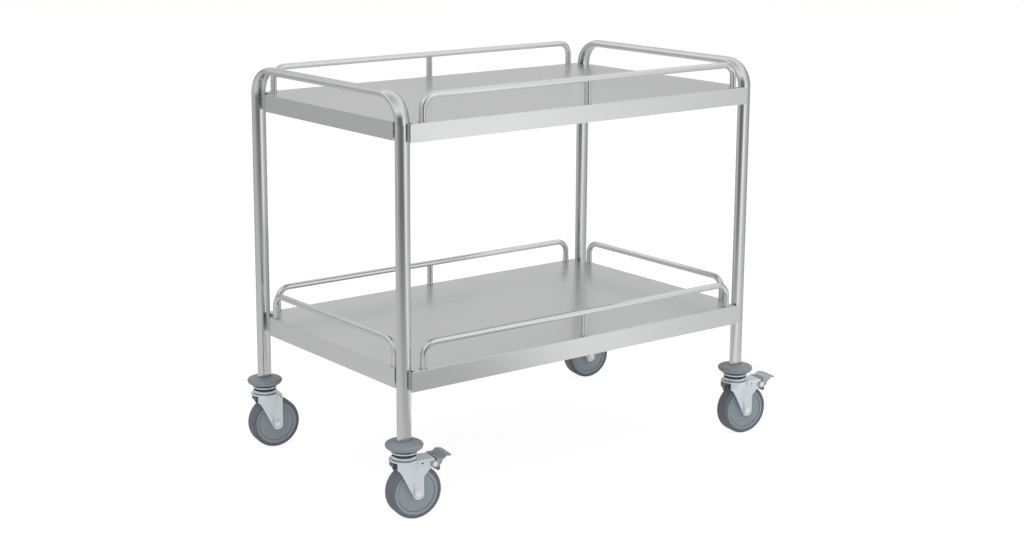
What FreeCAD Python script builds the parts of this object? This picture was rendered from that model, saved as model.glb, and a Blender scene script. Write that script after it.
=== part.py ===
import FreeCAD, Part
import math
import os
import Sketcher

# Instrument trolley: two bent oval-tube end frames, two folded sheet shelves with
# guard rails, and four swivel castors, the two front ones with a foot brake.
# X runs along the trolley, the long front side faces -Y, Z is up and the floor is
# at zero. The origin lies under the middle of everything that touches the outline,
# castors and pedals included.

SIZES = {
    # End frames: an oval tube, wide along X, bent over into the push handle
    "leg_spacing_x": 820.0,
    "leg_spacing_y": 488.0,
    "tube_wide": 30.0,
    "tube_thick": 15.0,
    "tube_nose": 4.5,
    "tube_wall": 1.5,
    "handle_rise": 47.0,
    "frame_bend": 50.0,
    # Shelves: trays of folded sheet, deck on top and an apron all round
    "top_deck": 713.0,
    "bottom_deck": 272.0,
    "sheet": 1.2,
    "top_apron": 33.0,
    "bottom_apron": 37.0,
    "front_overhang": 14.0,
    "side_overhang": 1.0,
    "tab_inset": 7.5,
    "side_apron_inset": 27.0,
    "leg_clearance": 0.3,
    "hem": 9.0,
    "fold_radius": 1.0,
    # Stiffening channel under each deck
    "channel_width": 60.0,
    "channel_depth": 18.0,
    "channel_flange": 14.0,
    "channel_end_gap": 50.0,
    # Guard rails of round tube, their feet let through the decks close to the edge
    "rail_diameter": 12.0,
    "rail_wall": 1.2,
    "rail_rise": 46.5,
    "rail_bend": 25.0,
    "rail_inset": 38.0,
    "rail_edge_gap": 2.0,
    "rail_hole_play": 0.3,
    # Screws and nuts inside the tube that hold the shelves to the legs
    "screw_diameter": 6.0,
    "screw_play": 0.4,
    "screw_end": 1.0,
    "screw_head_diameter": 10.5,
    "screw_head_height": 3.4,
    "screw_socket": 4.0,
    "socket_depth": 2.0,
    "screw_drop": 17.0,
    "nut_gap": 0.5,
    "nut_length": 7.0,
    # Castor as a whole
    "wheel_diameter": 100.0,
    "trail": 17.0,
    "castor_turn": -10.0,
    # Tyre and hub
    "tyre_width": 32.0,
    "tyre_depth": 7.5,
    "shoulder_width": 4.5,
    "shoulder_drop": 3.5,
    "tread_round": 2.0,
    "hub_width": 31.0,
    "hub_recess_depth": 2.5,
    "hub_rim": 6.0,
    "hub_groove": 1.2,
    "hub_boss_diameter": 26.0,
    # Bushes and axle
    "axle_diameter": 8.0,
    "axle_play": 0.1,
    "bush_diameter": 13.0,
    "bush_flange_diameter": 18.0,
    "bush_depth": 9.0,
    "wheel_side_gap": 0.3,
    "axle_head_diameter": 12.0,
    "axle_head_height": 3.0,
    "axle_nut_width": 13.0,
    "axle_nut_height": 5.0,
    "axle_hole_play": 0.3,
    # Fork, a pressed steel plate of one thickness
    "fork_gap": 36.0,
    "fork_plate": 2.5,
    "crown_clearance": 10.0,
    "crown_diameter": 56.0,
    "crown_skirt": 14.5,
    "crown_round": 2.0,
    "flare_height": 34.0,
    "flare_narrowing": 6.0,
    "crease_x": 11.0,
    "arm_rear": 12.5,
    "arm_below": 12.5,
    "arm_end_round": 9.5,
    "arm_end_x": 17.6,
    "front_edge_slant": 62.9,
    "front_hollow": 14.0,
    "bridge_drop": 2.5,
    "bridge_round": 4.0,
    "hook_hole_diameter": 4.0,
    "hook_hole_x": 26.5,
    "hook_hole_drop": 7.8,
    # Swivel bearing
    "kingpin_diameter": 10.0,
    "kingpin_play": 0.1,
    "rivet_diameter": 17.0,
    "rivet_height": 4.0,
    "bearing_gap": 0.8,
    "race_diameter": 47.0,
    "race_height": 5.2,
    "stem_diameter": 10.0,
    "stem_length": 42.0,
    "stem_flange_diameter": 22.0,
    "stem_flange": 4.0,
    # Bumper ring on each leg
    "bumper_diameter": 69.0,
    "bumper_height": 26.0,
    "bumper_gap": 0.4,
    "bumper_waist": 54.0,
    "bumper_neck": 38.0,
    "bumper_band": 8.0,
    "bumper_low": 12.5,
    "bumper_round": 3.8,
    "bumper_hollow": 5.0,
    "bumper_socket": 5.0,
    "leg_in_bumper": 3.9,
    "plug_play": 0.2,
    "plug_length": 38.0,
    # Foot brake
    "brake_pin_x": 50.0,
    "brake_pin_drop": 11.0,
    "brake_pin_diameter": 5.0,
    "brake_pin_play": 0.1,
    "pin_head_diameter": 9.0,
    "pin_head_height": 1.6,
    "horn_end": 7.5,
    "horn_rise": 14.0,
    "horn_hollow": 11.0,
    "horn_round": 3.0,
    "pedal_plate": 2.0,
    "pedal_ear_gap": 0.5,
    "pedal_ear": 7.5,
    "pedal_front": 53.5,
    "pedal_flat_end": 66.0,
    "pedal_drop": 5.0,
    "pedal_toe_rise": 5.0,
    "pedal_toe_run": 7.0,
    "pedal_reach": 84.0,
    "pedal_tip_drop": 1.5,
    "brake_travel": 14.0,
    "shoe_width": 26.0,
    "shoe_gap": 0.8,
}


class Size:
    """A length worked out from the sheet: its number and the formula that gives it."""

    def __init__(self, value, formula):
        self.value = float(value)
        self.formula = formula

    @staticmethod
    def of(thing):
        return thing if isinstance(thing, Size) else Size(thing, str(thing))

    def __add__(self, other):
        other = Size.of(other)
        return Size(self.value + other.value, f"({self.formula} + {other.formula})")

    def __sub__(self, other):
        other = Size.of(other)
        return Size(self.value - other.value, f"({self.formula} - {other.formula})")

    def __mul__(self, other):
        other = Size.of(other)
        return Size(self.value * other.value, f"({self.formula} * {other.formula})")

    def __truediv__(self, other):
        other = Size.of(other)
        return Size(self.value / other.value, f"({self.formula} / {other.formula})")

    def __neg__(self):
        return Size(-self.value, f"(0 - {self.formula})")

    def __radd__(self, other):
        return Size.of(other) + self

    def __rsub__(self, other):
        return Size.of(other) - self


class Sheet:
    """The driving dimensions: a spreadsheet whose cells can be read as sizes."""

    def __init__(self, document, sizes):
        self.cells = document.addObject("Spreadsheet::Sheet", "Sizes")
        self.numbers = sizes
        for row, (name, number) in enumerate(sizes.items(), start=1):
            self.cells.set(f"A{row}", name)
            self.cells.set(f"B{row}", str(number))
            self.cells.setAlias(f"B{row}", name)

    def __getattr__(self, name):
        if name not in self.numbers:
            raise AttributeError(name)
        return Size(self.numbers[name], f"Sizes.{name}")


doc = FreeCAD.newDocument("InstrumentTrolley")
S = Sheet(doc, SIZES)
doc.recompute()

ZERO = Size(0.0, "0")
nodes = []


# Working with bodies and sketches

def vector(x, y, z=0.0):
    return FreeCAD.Vector(x, y, z)


def bind(thing, prop, size):
    thing.setExpression(prop, Size.of(size).formula)


def new_body(name):
    body = doc.addObject("PartDesign::Body", name)
    body.Label = name
    return body


def new_sketch(body, name, plane, lift=None):
    """A sketch on one of the body's own origin planes, lifted along its normal."""
    sketch = body.newObject("Sketcher::SketchObject", name)
    support = next(f for f in body.Origin.OriginFeatures if f.Role == plane)
    sketch.AttachmentSupport = [(support, "")]
    sketch.MapMode = "FlatFace"
    if lift is not None:
        sketch.AttachmentOffset = FreeCAD.Placement(vector(0, 0, lift.value), FreeCAD.Rotation())
        bind(sketch, "AttachmentOffset.Base.z", lift)
    return sketch


def hold(sketch, kind, where, size, name):
    """Adds one driving dimension to a sketch and ties it to the sheet."""
    size = Size.of(size)
    index = sketch.addConstraint(Sketcher.Constraint(kind, *where, size.value))
    sketch.renameConstraint(index, name)
    bind(sketch, f"Constraints.{name}", size)


def hold_point(sketch, geometry, end, point, name):
    """Pins a point of the sketch at its two sizes from the sketch's origin."""
    hold(sketch, "DistanceX", (-1, 1, geometry, end), point[0], f"{name}_across")
    hold(sketch, "DistanceY", (-1, 1, geometry, end), point[1], f"{name}_up")


def draw_polygon(sketch, points, name="corner"):
    """A closed outline of straight edges with every corner pinned."""
    points = [(Size.of(across), Size.of(up)) for across, up in points]
    first = sketch.GeometryCount
    count = len(points)
    for index, start in enumerate(points):
        finish = points[(index + 1) % count]
        sketch.addGeometry(
            Part.LineSegment(
                vector(start[0].value, start[1].value), vector(finish[0].value, finish[1].value)
            )
        )
    for index in range(count):
        following = first + (index + 1) % count
        sketch.addConstraint(Sketcher.Constraint("Coincident", first + index, 2, following, 1))
    for index, point in enumerate(points):
        hold_point(sketch, first + index, 1, point, f"{name}{first + index}")


def draw_circle(sketch, centre, diameter, name="circle"):
    """A circle with its centre and radius held."""
    centre = (Size.of(centre[0]), Size.of(centre[1]))
    radius = Size.of(diameter) / 2
    middle = vector(centre[0].value, centre[1].value)
    index = sketch.addGeometry(Part.Circle(middle, vector(0, 0, 1), radius.value))
    hold(sketch, "Radius", (index,), radius, f"{name}{index}_radius")
    hold_point(sketch, index, 3, centre, f"{name}{index}")


def draw_oval(sketch, centre, wide, thick):
    """The tube's oval or one parallel to it: two tight noses joined by two bowed sides."""
    across, up = Size.of(centre[0]), Size.of(centre[1])
    nose = wide / 2 - nose_reach
    side = thick / 2 + side_reach
    join = math.atan2(side_reach.value, nose_reach.value)
    turns = (-join, join, math.pi - join, math.pi + join, 2 * math.pi - join)
    arcs = (
        (across + nose_reach, up, nose),
        (across, up - side_reach, side),
        (across - nose_reach, up, nose),
        (across, up + side_reach, side),
    )
    first = sketch.GeometryCount
    for index, (x, y, radius) in enumerate(arcs):
        circle = Part.Circle(vector(x.value, y.value), vector(0, 0, 1), radius.value)
        sketch.addGeometry(Part.ArcOfCircle(circle, turns[index], turns[index + 1]))
    for index in range(4):
        following = first + (index + 1) % 4
        sketch.addConstraint(Sketcher.Constraint("Tangent", first + index, 2, following, 1))
    for index, (x, y, radius) in enumerate(arcs, start=first):
        hold(sketch, "Radius", (index,), radius, f"arc{index}_radius")
        if y is up:
            hold_point(sketch, index, 3, (x, y), f"nose{index}")


def draw_hoop(sketch, half_span, foot, top, bend):
    """The centre line of a bent tube: up, over and down again, with two tangent arcs."""
    span, low, high, radius = half_span.value, foot.value, top.value, bend.value
    sketch.addGeometry(
        [
            Part.LineSegment(vector(-span, low), vector(-span, high - radius)),
            Part.ArcOfCircle(
                Part.Circle(vector(radius - span, high - radius), vector(0, 0, 1), radius),
                math.pi / 2,
                math.pi,
            ),
            Part.LineSegment(vector(radius - span, high), vector(span - radius, high)),
            Part.ArcOfCircle(
                Part.Circle(vector(span - radius, high - radius), vector(0, 0, 1), radius),
                0,
                math.pi / 2,
            ),
            Part.LineSegment(vector(span, high - radius), vector(span, low)),
        ]
    )
    joins = [(0, 2, 1, 2), (1, 1, 2, 1), (2, 2, 3, 2), (3, 1, 4, 1)]
    for join in joins:
        sketch.addConstraint(Sketcher.Constraint("Tangent", *join))
    for index in (0, 4):
        sketch.addConstraint(Sketcher.Constraint("Vertical", index))
    sketch.addConstraint(Sketcher.Constraint("Horizontal", 2))
    hold_point(sketch, 0, 1, (-half_span, foot), "near_foot")
    hold_point(sketch, 4, 2, (half_span, foot), "far_foot")
    hold(sketch, "DistanceY", (-1, 1, 2, 1), top, "top")
    hold(sketch, "Radius", (1,), bend, "near_bend")
    hold(sketch, "Radius", (3,), bend, "far_bend")


def pad(body, sketch, length, name, midplane=False, reverse=False):
    feature = body.newObject("PartDesign::Pad", name)
    feature.Profile = sketch
    feature.Midplane = midplane
    feature.Reversed = reverse
    feature.Length = Size.of(length).value
    bind(feature, "Length", length)
    return feature


def pocket(body, sketch, length, name, midplane=False, reverse=False):
    """Cuts along the sketch's normal and makes sure that something was removed."""
    doc.recompute()
    before = body.Shape.Volume
    feature = body.newObject("PartDesign::Pocket", name)
    feature.Profile = sketch
    feature.Midplane = midplane
    feature.Reversed = reverse
    feature.Length = Size.of(length).value
    bind(feature, "Length", length)
    doc.recompute()
    if not body.Shape.Volume < before:
        raise RuntimeError(f"{body.Name}: {name} removes nothing")
    return feature


def pipe(body, kind, profile, path, name):
    """Sweeps a profile along the five edges of a hoop."""
    feature = body.newObject(f"PartDesign::{kind}Pipe", name)
    feature.Profile = profile
    feature.Spine = (path, [f"Edge{index}" for index in range(1, 6)])
    return feature


def turned(body, points, name="Turned"):
    """A solid of revolution about Z from corners given as radius and height."""
    sketch = new_sketch(body, f"{name}Section", "XZ_Plane")
    draw_polygon(sketch, points)
    feature = body.newObject("PartDesign::Revolution", name)
    feature.Profile = sketch
    feature.ReferenceAxis = (sketch, ["V_Axis"])
    feature.Angle = 360.0
    return feature


def edges_where(shape, test):
    """Names of the edges whose middle point, and whose own shape, pass the test."""
    found = []
    for index, edge in enumerate(shape.Edges, start=1):
        middle = edge.valueAt((edge.FirstParameter + edge.LastParameter) / 2)
        if test(edge, middle):
            found.append(f"Edge{index}")
    return found


def fillet(body, radius, test, name):
    """Rounds the edges of the body that pass the test."""
    doc.recompute()
    base = body.Tip
    names = edges_where(base.Shape, test)
    if not names:
        raise RuntimeError(f"{body.Name}: {name} finds no edge")
    feature = body.newObject("PartDesign::Fillet", name)
    feature.Base = (base, names)
    feature.Radius = Size.of(radius).value
    bind(feature, "Radius", radius)
    return feature


def near(number, size):
    """Whether a measured number equals a size."""
    return abs(number - Size.of(size).value) < 0.01


def along(edge, axis):
    """Whether an edge is a straight one along an axis."""
    if edge.Curve.TypeId != "Part::GeomLine":
        return False
    direction = edge.Vertexes[-1].Point - edge.Vertexes[0].Point
    return abs(abs(direction.normalize().dot(axis)) - 1) < 0.001


def place(thing, across, deep, up, turn=None):
    """Puts a body where it belongs; a turn is in degrees about the vertical."""
    across, deep, up = Size.of(across), Size.of(deep), Size.of(up)
    angle = Size.of(turn if turn is not None else 0.0)
    thing.Placement = FreeCAD.Placement(
        vector(across.value, deep.value, up.value), FreeCAD.Rotation(vector(0, 0, 1), angle.value)
    )
    bind(thing, "Placement.Base.x", across)
    bind(thing, "Placement.Base.y", deep)
    bind(thing, "Placement.Base.z", up)
    if turn is not None:
        bind(thing, "Placement.Rotation.Angle", angle)


def keep(thing, name=None):
    """Marks an object as a finished sub-part; its label names its file."""
    if name is not None:
        thing.Label = name
    nodes.append(thing)
    return thing


def group(name, bodies):
    """One sub-part made of several separate solids."""
    compound = doc.addObject("Part::Compound", name)
    compound.Links = bodies
    return keep(compound, name)


# Places that several pieces share

half_x = S.leg_spacing_x / 2
half_y = S.leg_spacing_y / 2
half_wide = S.tube_wide / 2
half_thick = S.tube_thick / 2
nose_reach = half_wide - S.tube_nose
nose_rise = half_thick - S.tube_nose
side_reach = (nose_reach * nose_reach - nose_rise * nose_rise) / (nose_rise * 2)
shelf_x = half_x + S.side_overhang
shelf_y = half_y + S.front_overhang
rail_radius = S.rail_diameter / 2
rail_x = shelf_x - S.rail_edge_gap - rail_radius
rail_y = shelf_y - S.rail_edge_gap - rail_radius
rail_end_x = half_x - S.rail_inset
rail_end_y = half_y - S.rail_inset
wheel_radius = S.wheel_diameter / 2
fork_half = S.fork_gap / 2 + S.fork_plate
crown_radius = S.crown_diameter / 2
crown_under = S.wheel_diameter + S.crown_clearance
crown_top = crown_under + S.fork_plate
bridge_top = crown_top - S.bridge_drop
hook_hole_z = crown_top - S.hook_hole_drop
brake_pin_z = crown_top - S.brake_pin_drop
pedal_level = crown_top - S.pedal_drop
race_foot = crown_top + S.bearing_gap
race_top = race_foot + S.race_height
bumper_foot = race_top + S.bumper_gap
bumper_top = bumper_foot + S.bumper_height
leg_foot = bumper_top - S.leg_in_bumper
handle_top = S.top_deck + S.handle_rise
centre_x = (S.bumper_diameter / 2 - S.pedal_reach) / 2

CORNERS = {
    "front_left": (-1, -1),
    "front_right": (1, -1),
    "back_left": (-1, 1),
    "back_right": (1, 1),
}


def leg_place(corner):
    """Where a leg's axis stands."""
    side_x, side_y = CORNERS[corner]
    return centre_x + half_x * side_x, half_y * side_y


# End frames

def screw_heights():
    """The heights of the shelf screws, the same in the legs and in the shelves."""
    return [deck - S.screw_drop for deck in (S.top_deck, S.bottom_deck)]


def end_frame(name, side):
    """Two legs and the push handle in one bent oval tube."""
    body = new_body(name)
    path = new_sketch(body, "CentreLine", "YZ_Plane")
    draw_hoop(path, half_y, leg_foot, handle_top, S.frame_bend)
    outside = new_sketch(body, "Outside", "XY_Plane", leg_foot)
    draw_oval(outside, (ZERO, -half_y), S.tube_wide, S.tube_thick)
    pipe(body, "Additive", outside, path, "Tube")
    inside = new_sketch(body, "Inside", "XY_Plane", leg_foot)
    draw_oval(
        inside, (ZERO, -half_y), S.tube_wide - S.tube_wall * 2, S.tube_thick - S.tube_wall * 2
    )
    pipe(body, "Subtractive", inside, path, "Hollow")
    holes = new_sketch(body, "ScrewHoles", "YZ_Plane")
    for height in screw_heights():
        for leg in (-half_y, half_y):
            draw_circle(holes, (leg, height), S.screw_diameter + S.screw_play)
    pocket(body, holes, half_wide, "ScrewHoleCut", reverse=side < 0)
    place(body, centre_x + half_x * side, ZERO, ZERO)
    return keep(body)


# Shelves

notch_x = half_x - half_wide - S.leg_clearance
notch_y = half_y - S.side_apron_inset


def in_four_corners(points):
    """Repeats one corner's points, given for +X +Y, round all four corners."""
    flipped = list(reversed(points))
    return (
        [(across, up) for across, up in points]
        + [(-across, up) for across, up in flipped]
        + [(-across, -up) for across, up in points]
        + [(across, -up) for across, up in flipped]
    )


def shelf_outline():
    """Plan of the tray: the corners are cut back round the legs and the aprons run on in front."""
    inner_face = shelf_y - S.sheet
    return in_four_corners(
        [
            (shelf_x, notch_y),
            (notch_x, notch_y),
            (notch_x, inner_face),
            (half_x - S.tab_inset, inner_face),
            (half_x - S.tab_inset, shelf_y),
        ]
    )


def shelf_inside(shrink):
    """Plan of the space inside the aprons, smaller all round by a given amount."""
    return in_four_corners(
        [
            (shelf_x - shrink, notch_y - shrink),
            (notch_x - shrink, notch_y - shrink),
            (notch_x - shrink, shelf_y - shrink),
        ]
    )


def rail_feet(with_ends):
    """Where the rails of one shelf pass through its deck, seen from above."""
    feet = [(x, y) for x in (-rail_end_x, ZERO, rail_end_x) for y in (-rail_y, rail_y)]
    if with_ends:
        feet += [(x, y) for x in (-rail_x, rail_x) for y in (-rail_end_y, rail_end_y)]
    return feet


def shelf(name, deck, apron, with_ends):
    """A folded tray: deck, aprons, hemmed lower edge, leg notches and holes for the rails."""
    body = new_body(name)
    plan = new_sketch(body, "Plan", "XY_Plane", -apron)
    draw_polygon(plan, shelf_outline())
    pad(body, plan, apron, "Tray")
    hollow = new_sketch(body, "Hollow", "XY_Plane", -(apron - S.sheet))
    draw_polygon(hollow, shelf_inside(S.sheet))
    pocket(body, hollow, apron - S.sheet * 2, "HollowCut", reverse=True)
    mouth = new_sketch(body, "Mouth", "XY_Plane", -apron)
    draw_polygon(mouth, shelf_inside(S.sheet + S.hem))
    pocket(body, mouth, S.sheet, "MouthCut", reverse=True)
    holes = new_sketch(body, "ScrewHoles", "YZ_Plane")
    for leg in (-half_y, half_y):
        draw_circle(holes, (leg, -S.screw_drop), S.screw_diameter + S.screw_play)
    pocket(body, holes, notch_x * 2, "ScrewHoleCut", midplane=True)
    feet = new_sketch(body, "RailHoles", "XY_Plane")
    for foot in rail_feet(with_ends):
        draw_circle(feet, foot, S.rail_diameter + S.rail_hole_play)
    pocket(body, feet, S.sheet, "RailHoleCut")
    across = (vector(1, 0, 0), vector(0, 1, 0))
    fillet(
        body,
        S.fold_radius,
        lambda edge, middle: near(middle.z, 0)
        and any(along(edge, axis) for axis in across)
        and (near(abs(middle.y), shelf_y) or near(abs(middle.x), shelf_x)),
        "TopFold",
    )
    place(body, centre_x, ZERO, deck)
    return keep(body)


def shelf_channel(name, deck):
    """A hat-section channel along the middle of a deck's underside."""
    body = new_body(name)
    inner = S.channel_width / 2
    outer = inner + S.channel_flange
    plate = S.sheet
    section = new_sketch(body, "Section", "YZ_Plane")
    half = [
        (outer, ZERO),
        (outer, -plate),
        (inner, -plate),
        (inner, -S.channel_depth),
    ]
    inner_half = [
        (inner - plate, -(S.channel_depth - plate)),
        (inner - plate, ZERO),
    ]
    draw_polygon(
        section,
        half
        + [(-across, up) for across, up in reversed(half)]
        + [(-across, up) for across, up in reversed(inner_half)]
        + inner_half,
    )
    pad(body, section, (notch_x - S.channel_end_gap) * 2, "Channel", midplane=True)
    place(body, centre_x, ZERO, deck - S.sheet)
    return keep(body)


# Guard rails

def rail(name, plane, half_length, middle_post):
    """A tube bent down at both ends, with or without a post in the middle.

    Its feet end level with the underside of the deck they are let into.
    """
    body = new_body(name)
    low = -S.sheet
    start = "XY_Plane"
    path = new_sketch(body, "CentreLine", plane)
    draw_hoop(path, half_length, low, S.rail_rise, S.rail_bend)
    along_x = plane == "XZ_Plane"
    foot = (-half_length, ZERO) if along_x else (ZERO, -half_length)
    outside = new_sketch(body, "Outside", start, low)
    draw_circle(outside, foot, S.rail_diameter)
    pipe(body, "Additive", outside, path, "Tube")
    if middle_post:
        post = new_sketch(body, "PostSection", start, low)
        draw_circle(post, (ZERO, ZERO), S.rail_diameter)
        pad(body, post, S.rail_rise + S.sheet, "Post")
    inside = new_sketch(body, "Inside", start, low)
    draw_circle(inside, foot, S.rail_diameter - S.rail_wall * 2)
    pipe(body, "Subtractive", inside, path, "Hollow")
    if middle_post:
        bore = new_sketch(body, "PostBore", start, low)
        draw_circle(bore, (ZERO, ZERO), S.rail_diameter - S.rail_wall * 2)
        pocket(body, bore, S.rail_rise + S.sheet - rail_radius, "PostBoreCut", reverse=True)
    return body


def shelf_rails(shelf_name, deck, with_ends):
    """The rails of one shelf."""
    for word, side in (("front", -1), ("back", 1)):
        body = rail(f"{shelf_name}_{word}_rail", "XZ_Plane", rail_end_x, True)
        place(body, centre_x, rail_y * side, deck)
        keep(body)
    if with_ends:
        for word, side in (("left", -1), ("right", 1)):
            body = rail(f"{shelf_name}_{word}_rail", "YZ_Plane", rail_end_y, False)
            place(body, centre_x + rail_x * side, ZERO, deck)
            keep(body)


# Fasteners of the shelves

def shelf_screw(name):
    """A socket-headed screw along +Z with the underside of its head at zero."""
    body = new_body(name)
    reach = S.sheet + S.leg_clearance + half_wide + S.nut_length / 2 + S.screw_end
    head = new_sketch(body, "HeadSection", "XY_Plane", -S.screw_head_height)
    draw_circle(head, (ZERO, ZERO), S.screw_head_diameter)
    pad(body, head, S.screw_head_height, "Head")
    shank = new_sketch(body, "ShankSection", "XY_Plane")
    draw_circle(shank, (ZERO, ZERO), S.screw_diameter)
    pad(body, shank, reach, "Shank")
    socket = new_sketch(body, "Socket", "XY_Plane", -S.screw_head_height)
    draw_polygon(socket, hexagon(S.screw_socket))
    pocket(body, socket, S.socket_depth, "SocketCut", reverse=True)
    return body


def tube_nut(name):
    """A round nut along +Z that just fits into the tube, with its middle at zero."""
    body = new_body(name)
    section = new_sketch(body, "Section", "XY_Plane", -S.nut_length / 2)
    draw_circle(section, (ZERO, ZERO), S.tube_thick - (S.tube_wall + S.nut_gap) * 2)
    draw_circle(section, (ZERO, ZERO), S.screw_diameter + S.screw_play)
    pad(body, section, S.nut_length, "Nut")
    return body


def shelf_fasteners():
    """Eight screws from inside the trays into nuts in the legs."""
    screws = []
    nuts = []
    for corner, (side_x, side_y) in CORNERS.items():
        for level, height in zip(("top", "bottom"), screw_heights()):
            screw = shelf_screw(f"{corner}_{level}_screw")
            wall = centre_x + (notch_x - S.sheet) * side_x
            lay_along_x(screw, wall, half_y * side_y, height, side_x)
            screws.append(screw)
            nut = tube_nut(f"{corner}_{level}_nut")
            lay_along_x(nut, leg_place(corner)[0], half_y * side_y, height, side_x)
            nuts.append(nut)
    group("shelf_screws", screws)
    group("leg_nuts", nuts)


def hexagon(width):
    """Corners of a regular hexagon of a given width across flats, about the origin."""
    radius = width / math.sqrt(3)
    corners = []
    for index in range(6):
        angle = math.radians(60 * index)
        corners.append((radius * round(math.cos(angle), 9), radius * round(math.sin(angle), 9)))
    return corners


def lay_along_x(thing, across, deep, up, side):
    """Lays a piece that was drawn along +Z down so that it points along X to one side."""
    thing.Placement = FreeCAD.Placement(
        vector(across.value, deep.value, up.value),
        FreeCAD.Rotation(vector(0, 1, 0), 90.0 * side),
    )
    bind(thing, "Placement.Base.x", across)
    bind(thing, "Placement.Base.y", deep)
    bind(thing, "Placement.Base.z", up)


# Castors: every piece is drawn with the swivel axis on Z and the trail along +X

def castor_place(thing, corner, turning):
    """Stands a castor's piece under its leg, turned to the rest position if it swivels."""
    across, deep = leg_place(corner)
    place(thing, across, deep, ZERO, S.castor_turn if turning else None)
    return keep(thing)


def wheel_piece(name, points):
    """A turned piece of the wheel, drawn about Z, to be laid on the axle later."""
    body = new_body(name)
    turned(body, points)
    return body


def lay_on_axle(thing, corner):
    """Turns a piece of the wheel so that its axis lies across the fork, at the axle."""
    across, deep = leg_place(corner)
    turn = math.radians(S.castor_turn.value)
    trail = S.trail
    thing.Placement = FreeCAD.Placement(
        vector(
            across.value + trail.value * math.cos(turn),
            deep.value + trail.value * math.sin(turn),
            wheel_radius.value,
        ),
        FreeCAD.Rotation(vector(0, 0, 1), S.castor_turn.value)
        * FreeCAD.Rotation(vector(1, 0, 0), 90.0),
    )
    cosine = Size(math.cos(turn), "cos(Sizes.castor_turn * 1 deg)")
    sine = Size(math.sin(turn), "sin(Sizes.castor_turn * 1 deg)")
    bind(thing, "Placement.Base.x", across + trail * cosine)
    bind(thing, "Placement.Base.y", deep + trail * sine)
    bind(thing, "Placement.Base.z", wheel_radius)
    return keep(thing)


def tyre(corner):
    """A soft tyre with a flat tread between two bevelled shoulders."""
    half = S.tyre_width / 2
    inner = wheel_radius - S.tyre_depth
    wall = wheel_radius - S.shoulder_drop
    tread = half - S.shoulder_width
    profile = [(inner, half), (wall, half), (wheel_radius, tread)]
    body = wheel_piece(
        f"{corner}_tyre", profile + [(radius, -up) for radius, up in reversed(profile)]
    )
    fillet(
        body,
        S.tread_round,
        lambda edge, middle: edge.Curve.TypeId == "Part::GeomCircle"
        and any(
            near(math.hypot(middle.x, middle.y), radius) and near(abs(middle.z), up)
            for radius, up in profile[1:]
        ),
        "TreadShoulders",
    )
    return lay_on_axle(body, corner)


def hub(corner):
    """A moulded centre: rim, a fine groove inside it, a dished disc and a boss for the bushes."""
    outer = wheel_radius - S.tyre_depth
    half = S.hub_width / 2
    rim = outer - S.hub_rim
    groove = rim - S.hub_groove
    floor = half - S.hub_recess_depth
    disc = half - S.hub_recess_depth / 2
    boss = S.hub_boss_diameter / 2
    profile = [
        (S.bush_diameter / 2, half),
        (boss, half),
        (boss + 1.5, disc),
        (groove, disc),
        (groove, floor),
        (rim, floor),
        (rim, half - 0.5),
        (outer, half - 0.5),
    ]
    body = wheel_piece(
        f"{corner}_hub", profile + [(radius, -up) for radius, up in reversed(profile)]
    )
    return lay_on_axle(body, corner)


def bushes(corner):
    """Two flanged plain bearings pressed into the hub from either side."""
    half = S.hub_width / 2
    bore = (S.axle_diameter + S.axle_play) / 2
    face = S.fork_gap / 2 - S.wheel_side_gap
    pieces = []
    for word, side in (("near", 1), ("far", -1)):
        body = wheel_piece(
            f"{corner}_{word}_bush",
            [
                (bore, (half - S.bush_depth) * side),
                (S.bush_diameter / 2, (half - S.bush_depth) * side),
                (S.bush_diameter / 2, half * side),
                (S.bush_flange_diameter / 2, half * side),
                (S.bush_flange_diameter / 2, face * side),
                (bore, face * side),
            ],
        )
        lay_on_axle(body, corner)
        nodes.remove(body)
        pieces.append(body)
    return group(f"{corner}_bushes", pieces)


def axle_bolt(corner):
    """A shouldered bolt across the fork with a low round head."""
    grip = fork_half
    head = S.axle_head_diameter / 2
    shaft = S.axle_diameter / 2
    body = wheel_piece(
        f"{corner}_axle_bolt",
        [
            (ZERO, -(grip + S.axle_nut_height + 1.5)),
            (shaft, -(grip + S.axle_nut_height + 1.5)),
            (shaft, grip),
            (head, grip),
            (head, grip + S.axle_head_height),
            (head - 4, grip + S.axle_head_height),
            (head - 5, grip + S.axle_head_height - 1),
            (ZERO, grip + S.axle_head_height - 1),
        ],
    )
    fillet(
        body,
        S.axle_head_height / 2,
        lambda edge, middle: near(math.hypot(middle.x, middle.y), head)
        and near(middle.z, grip + S.axle_head_height),
        "HeadRound",
    )
    return lay_on_axle(body, corner)


def axle_nut(corner):
    """A hexagon nut at the far end of the axle."""
    body = new_body(f"{corner}_axle_nut")
    section = new_sketch(body, "Section", "XY_Plane", -(fork_half + S.axle_nut_height))
    draw_polygon(section, hexagon(S.axle_nut_width))
    draw_circle(section, (ZERO, ZERO), S.axle_diameter)
    pad(body, section, S.axle_nut_height, "Nut")
    return lay_on_axle(body, corner)


def fork_side(braked):
    """Side view of the flat plates behind the crease, with a horn where there is a brake."""
    rear = S.trail + S.arm_rear
    low = wheel_radius - S.arm_below
    outline = [(S.crease_x, low), (rear, low)]
    if not braked:
        return outline + [(rear, bridge_top), (S.crease_x, bridge_top)]
    under = brake_pin_z - S.horn_end
    tip = S.brake_pin_x + S.horn_end
    return outline + [
        (rear, under - S.horn_rise),
        (rear + S.horn_rise, under),
        (tip, under),
        (tip, brake_pin_z),
        (S.brake_pin_x + 1, pedal_level - 1),
        (S.brake_pin_x + 1, bridge_top),
        (S.crease_x, bridge_top),
    ]


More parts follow.
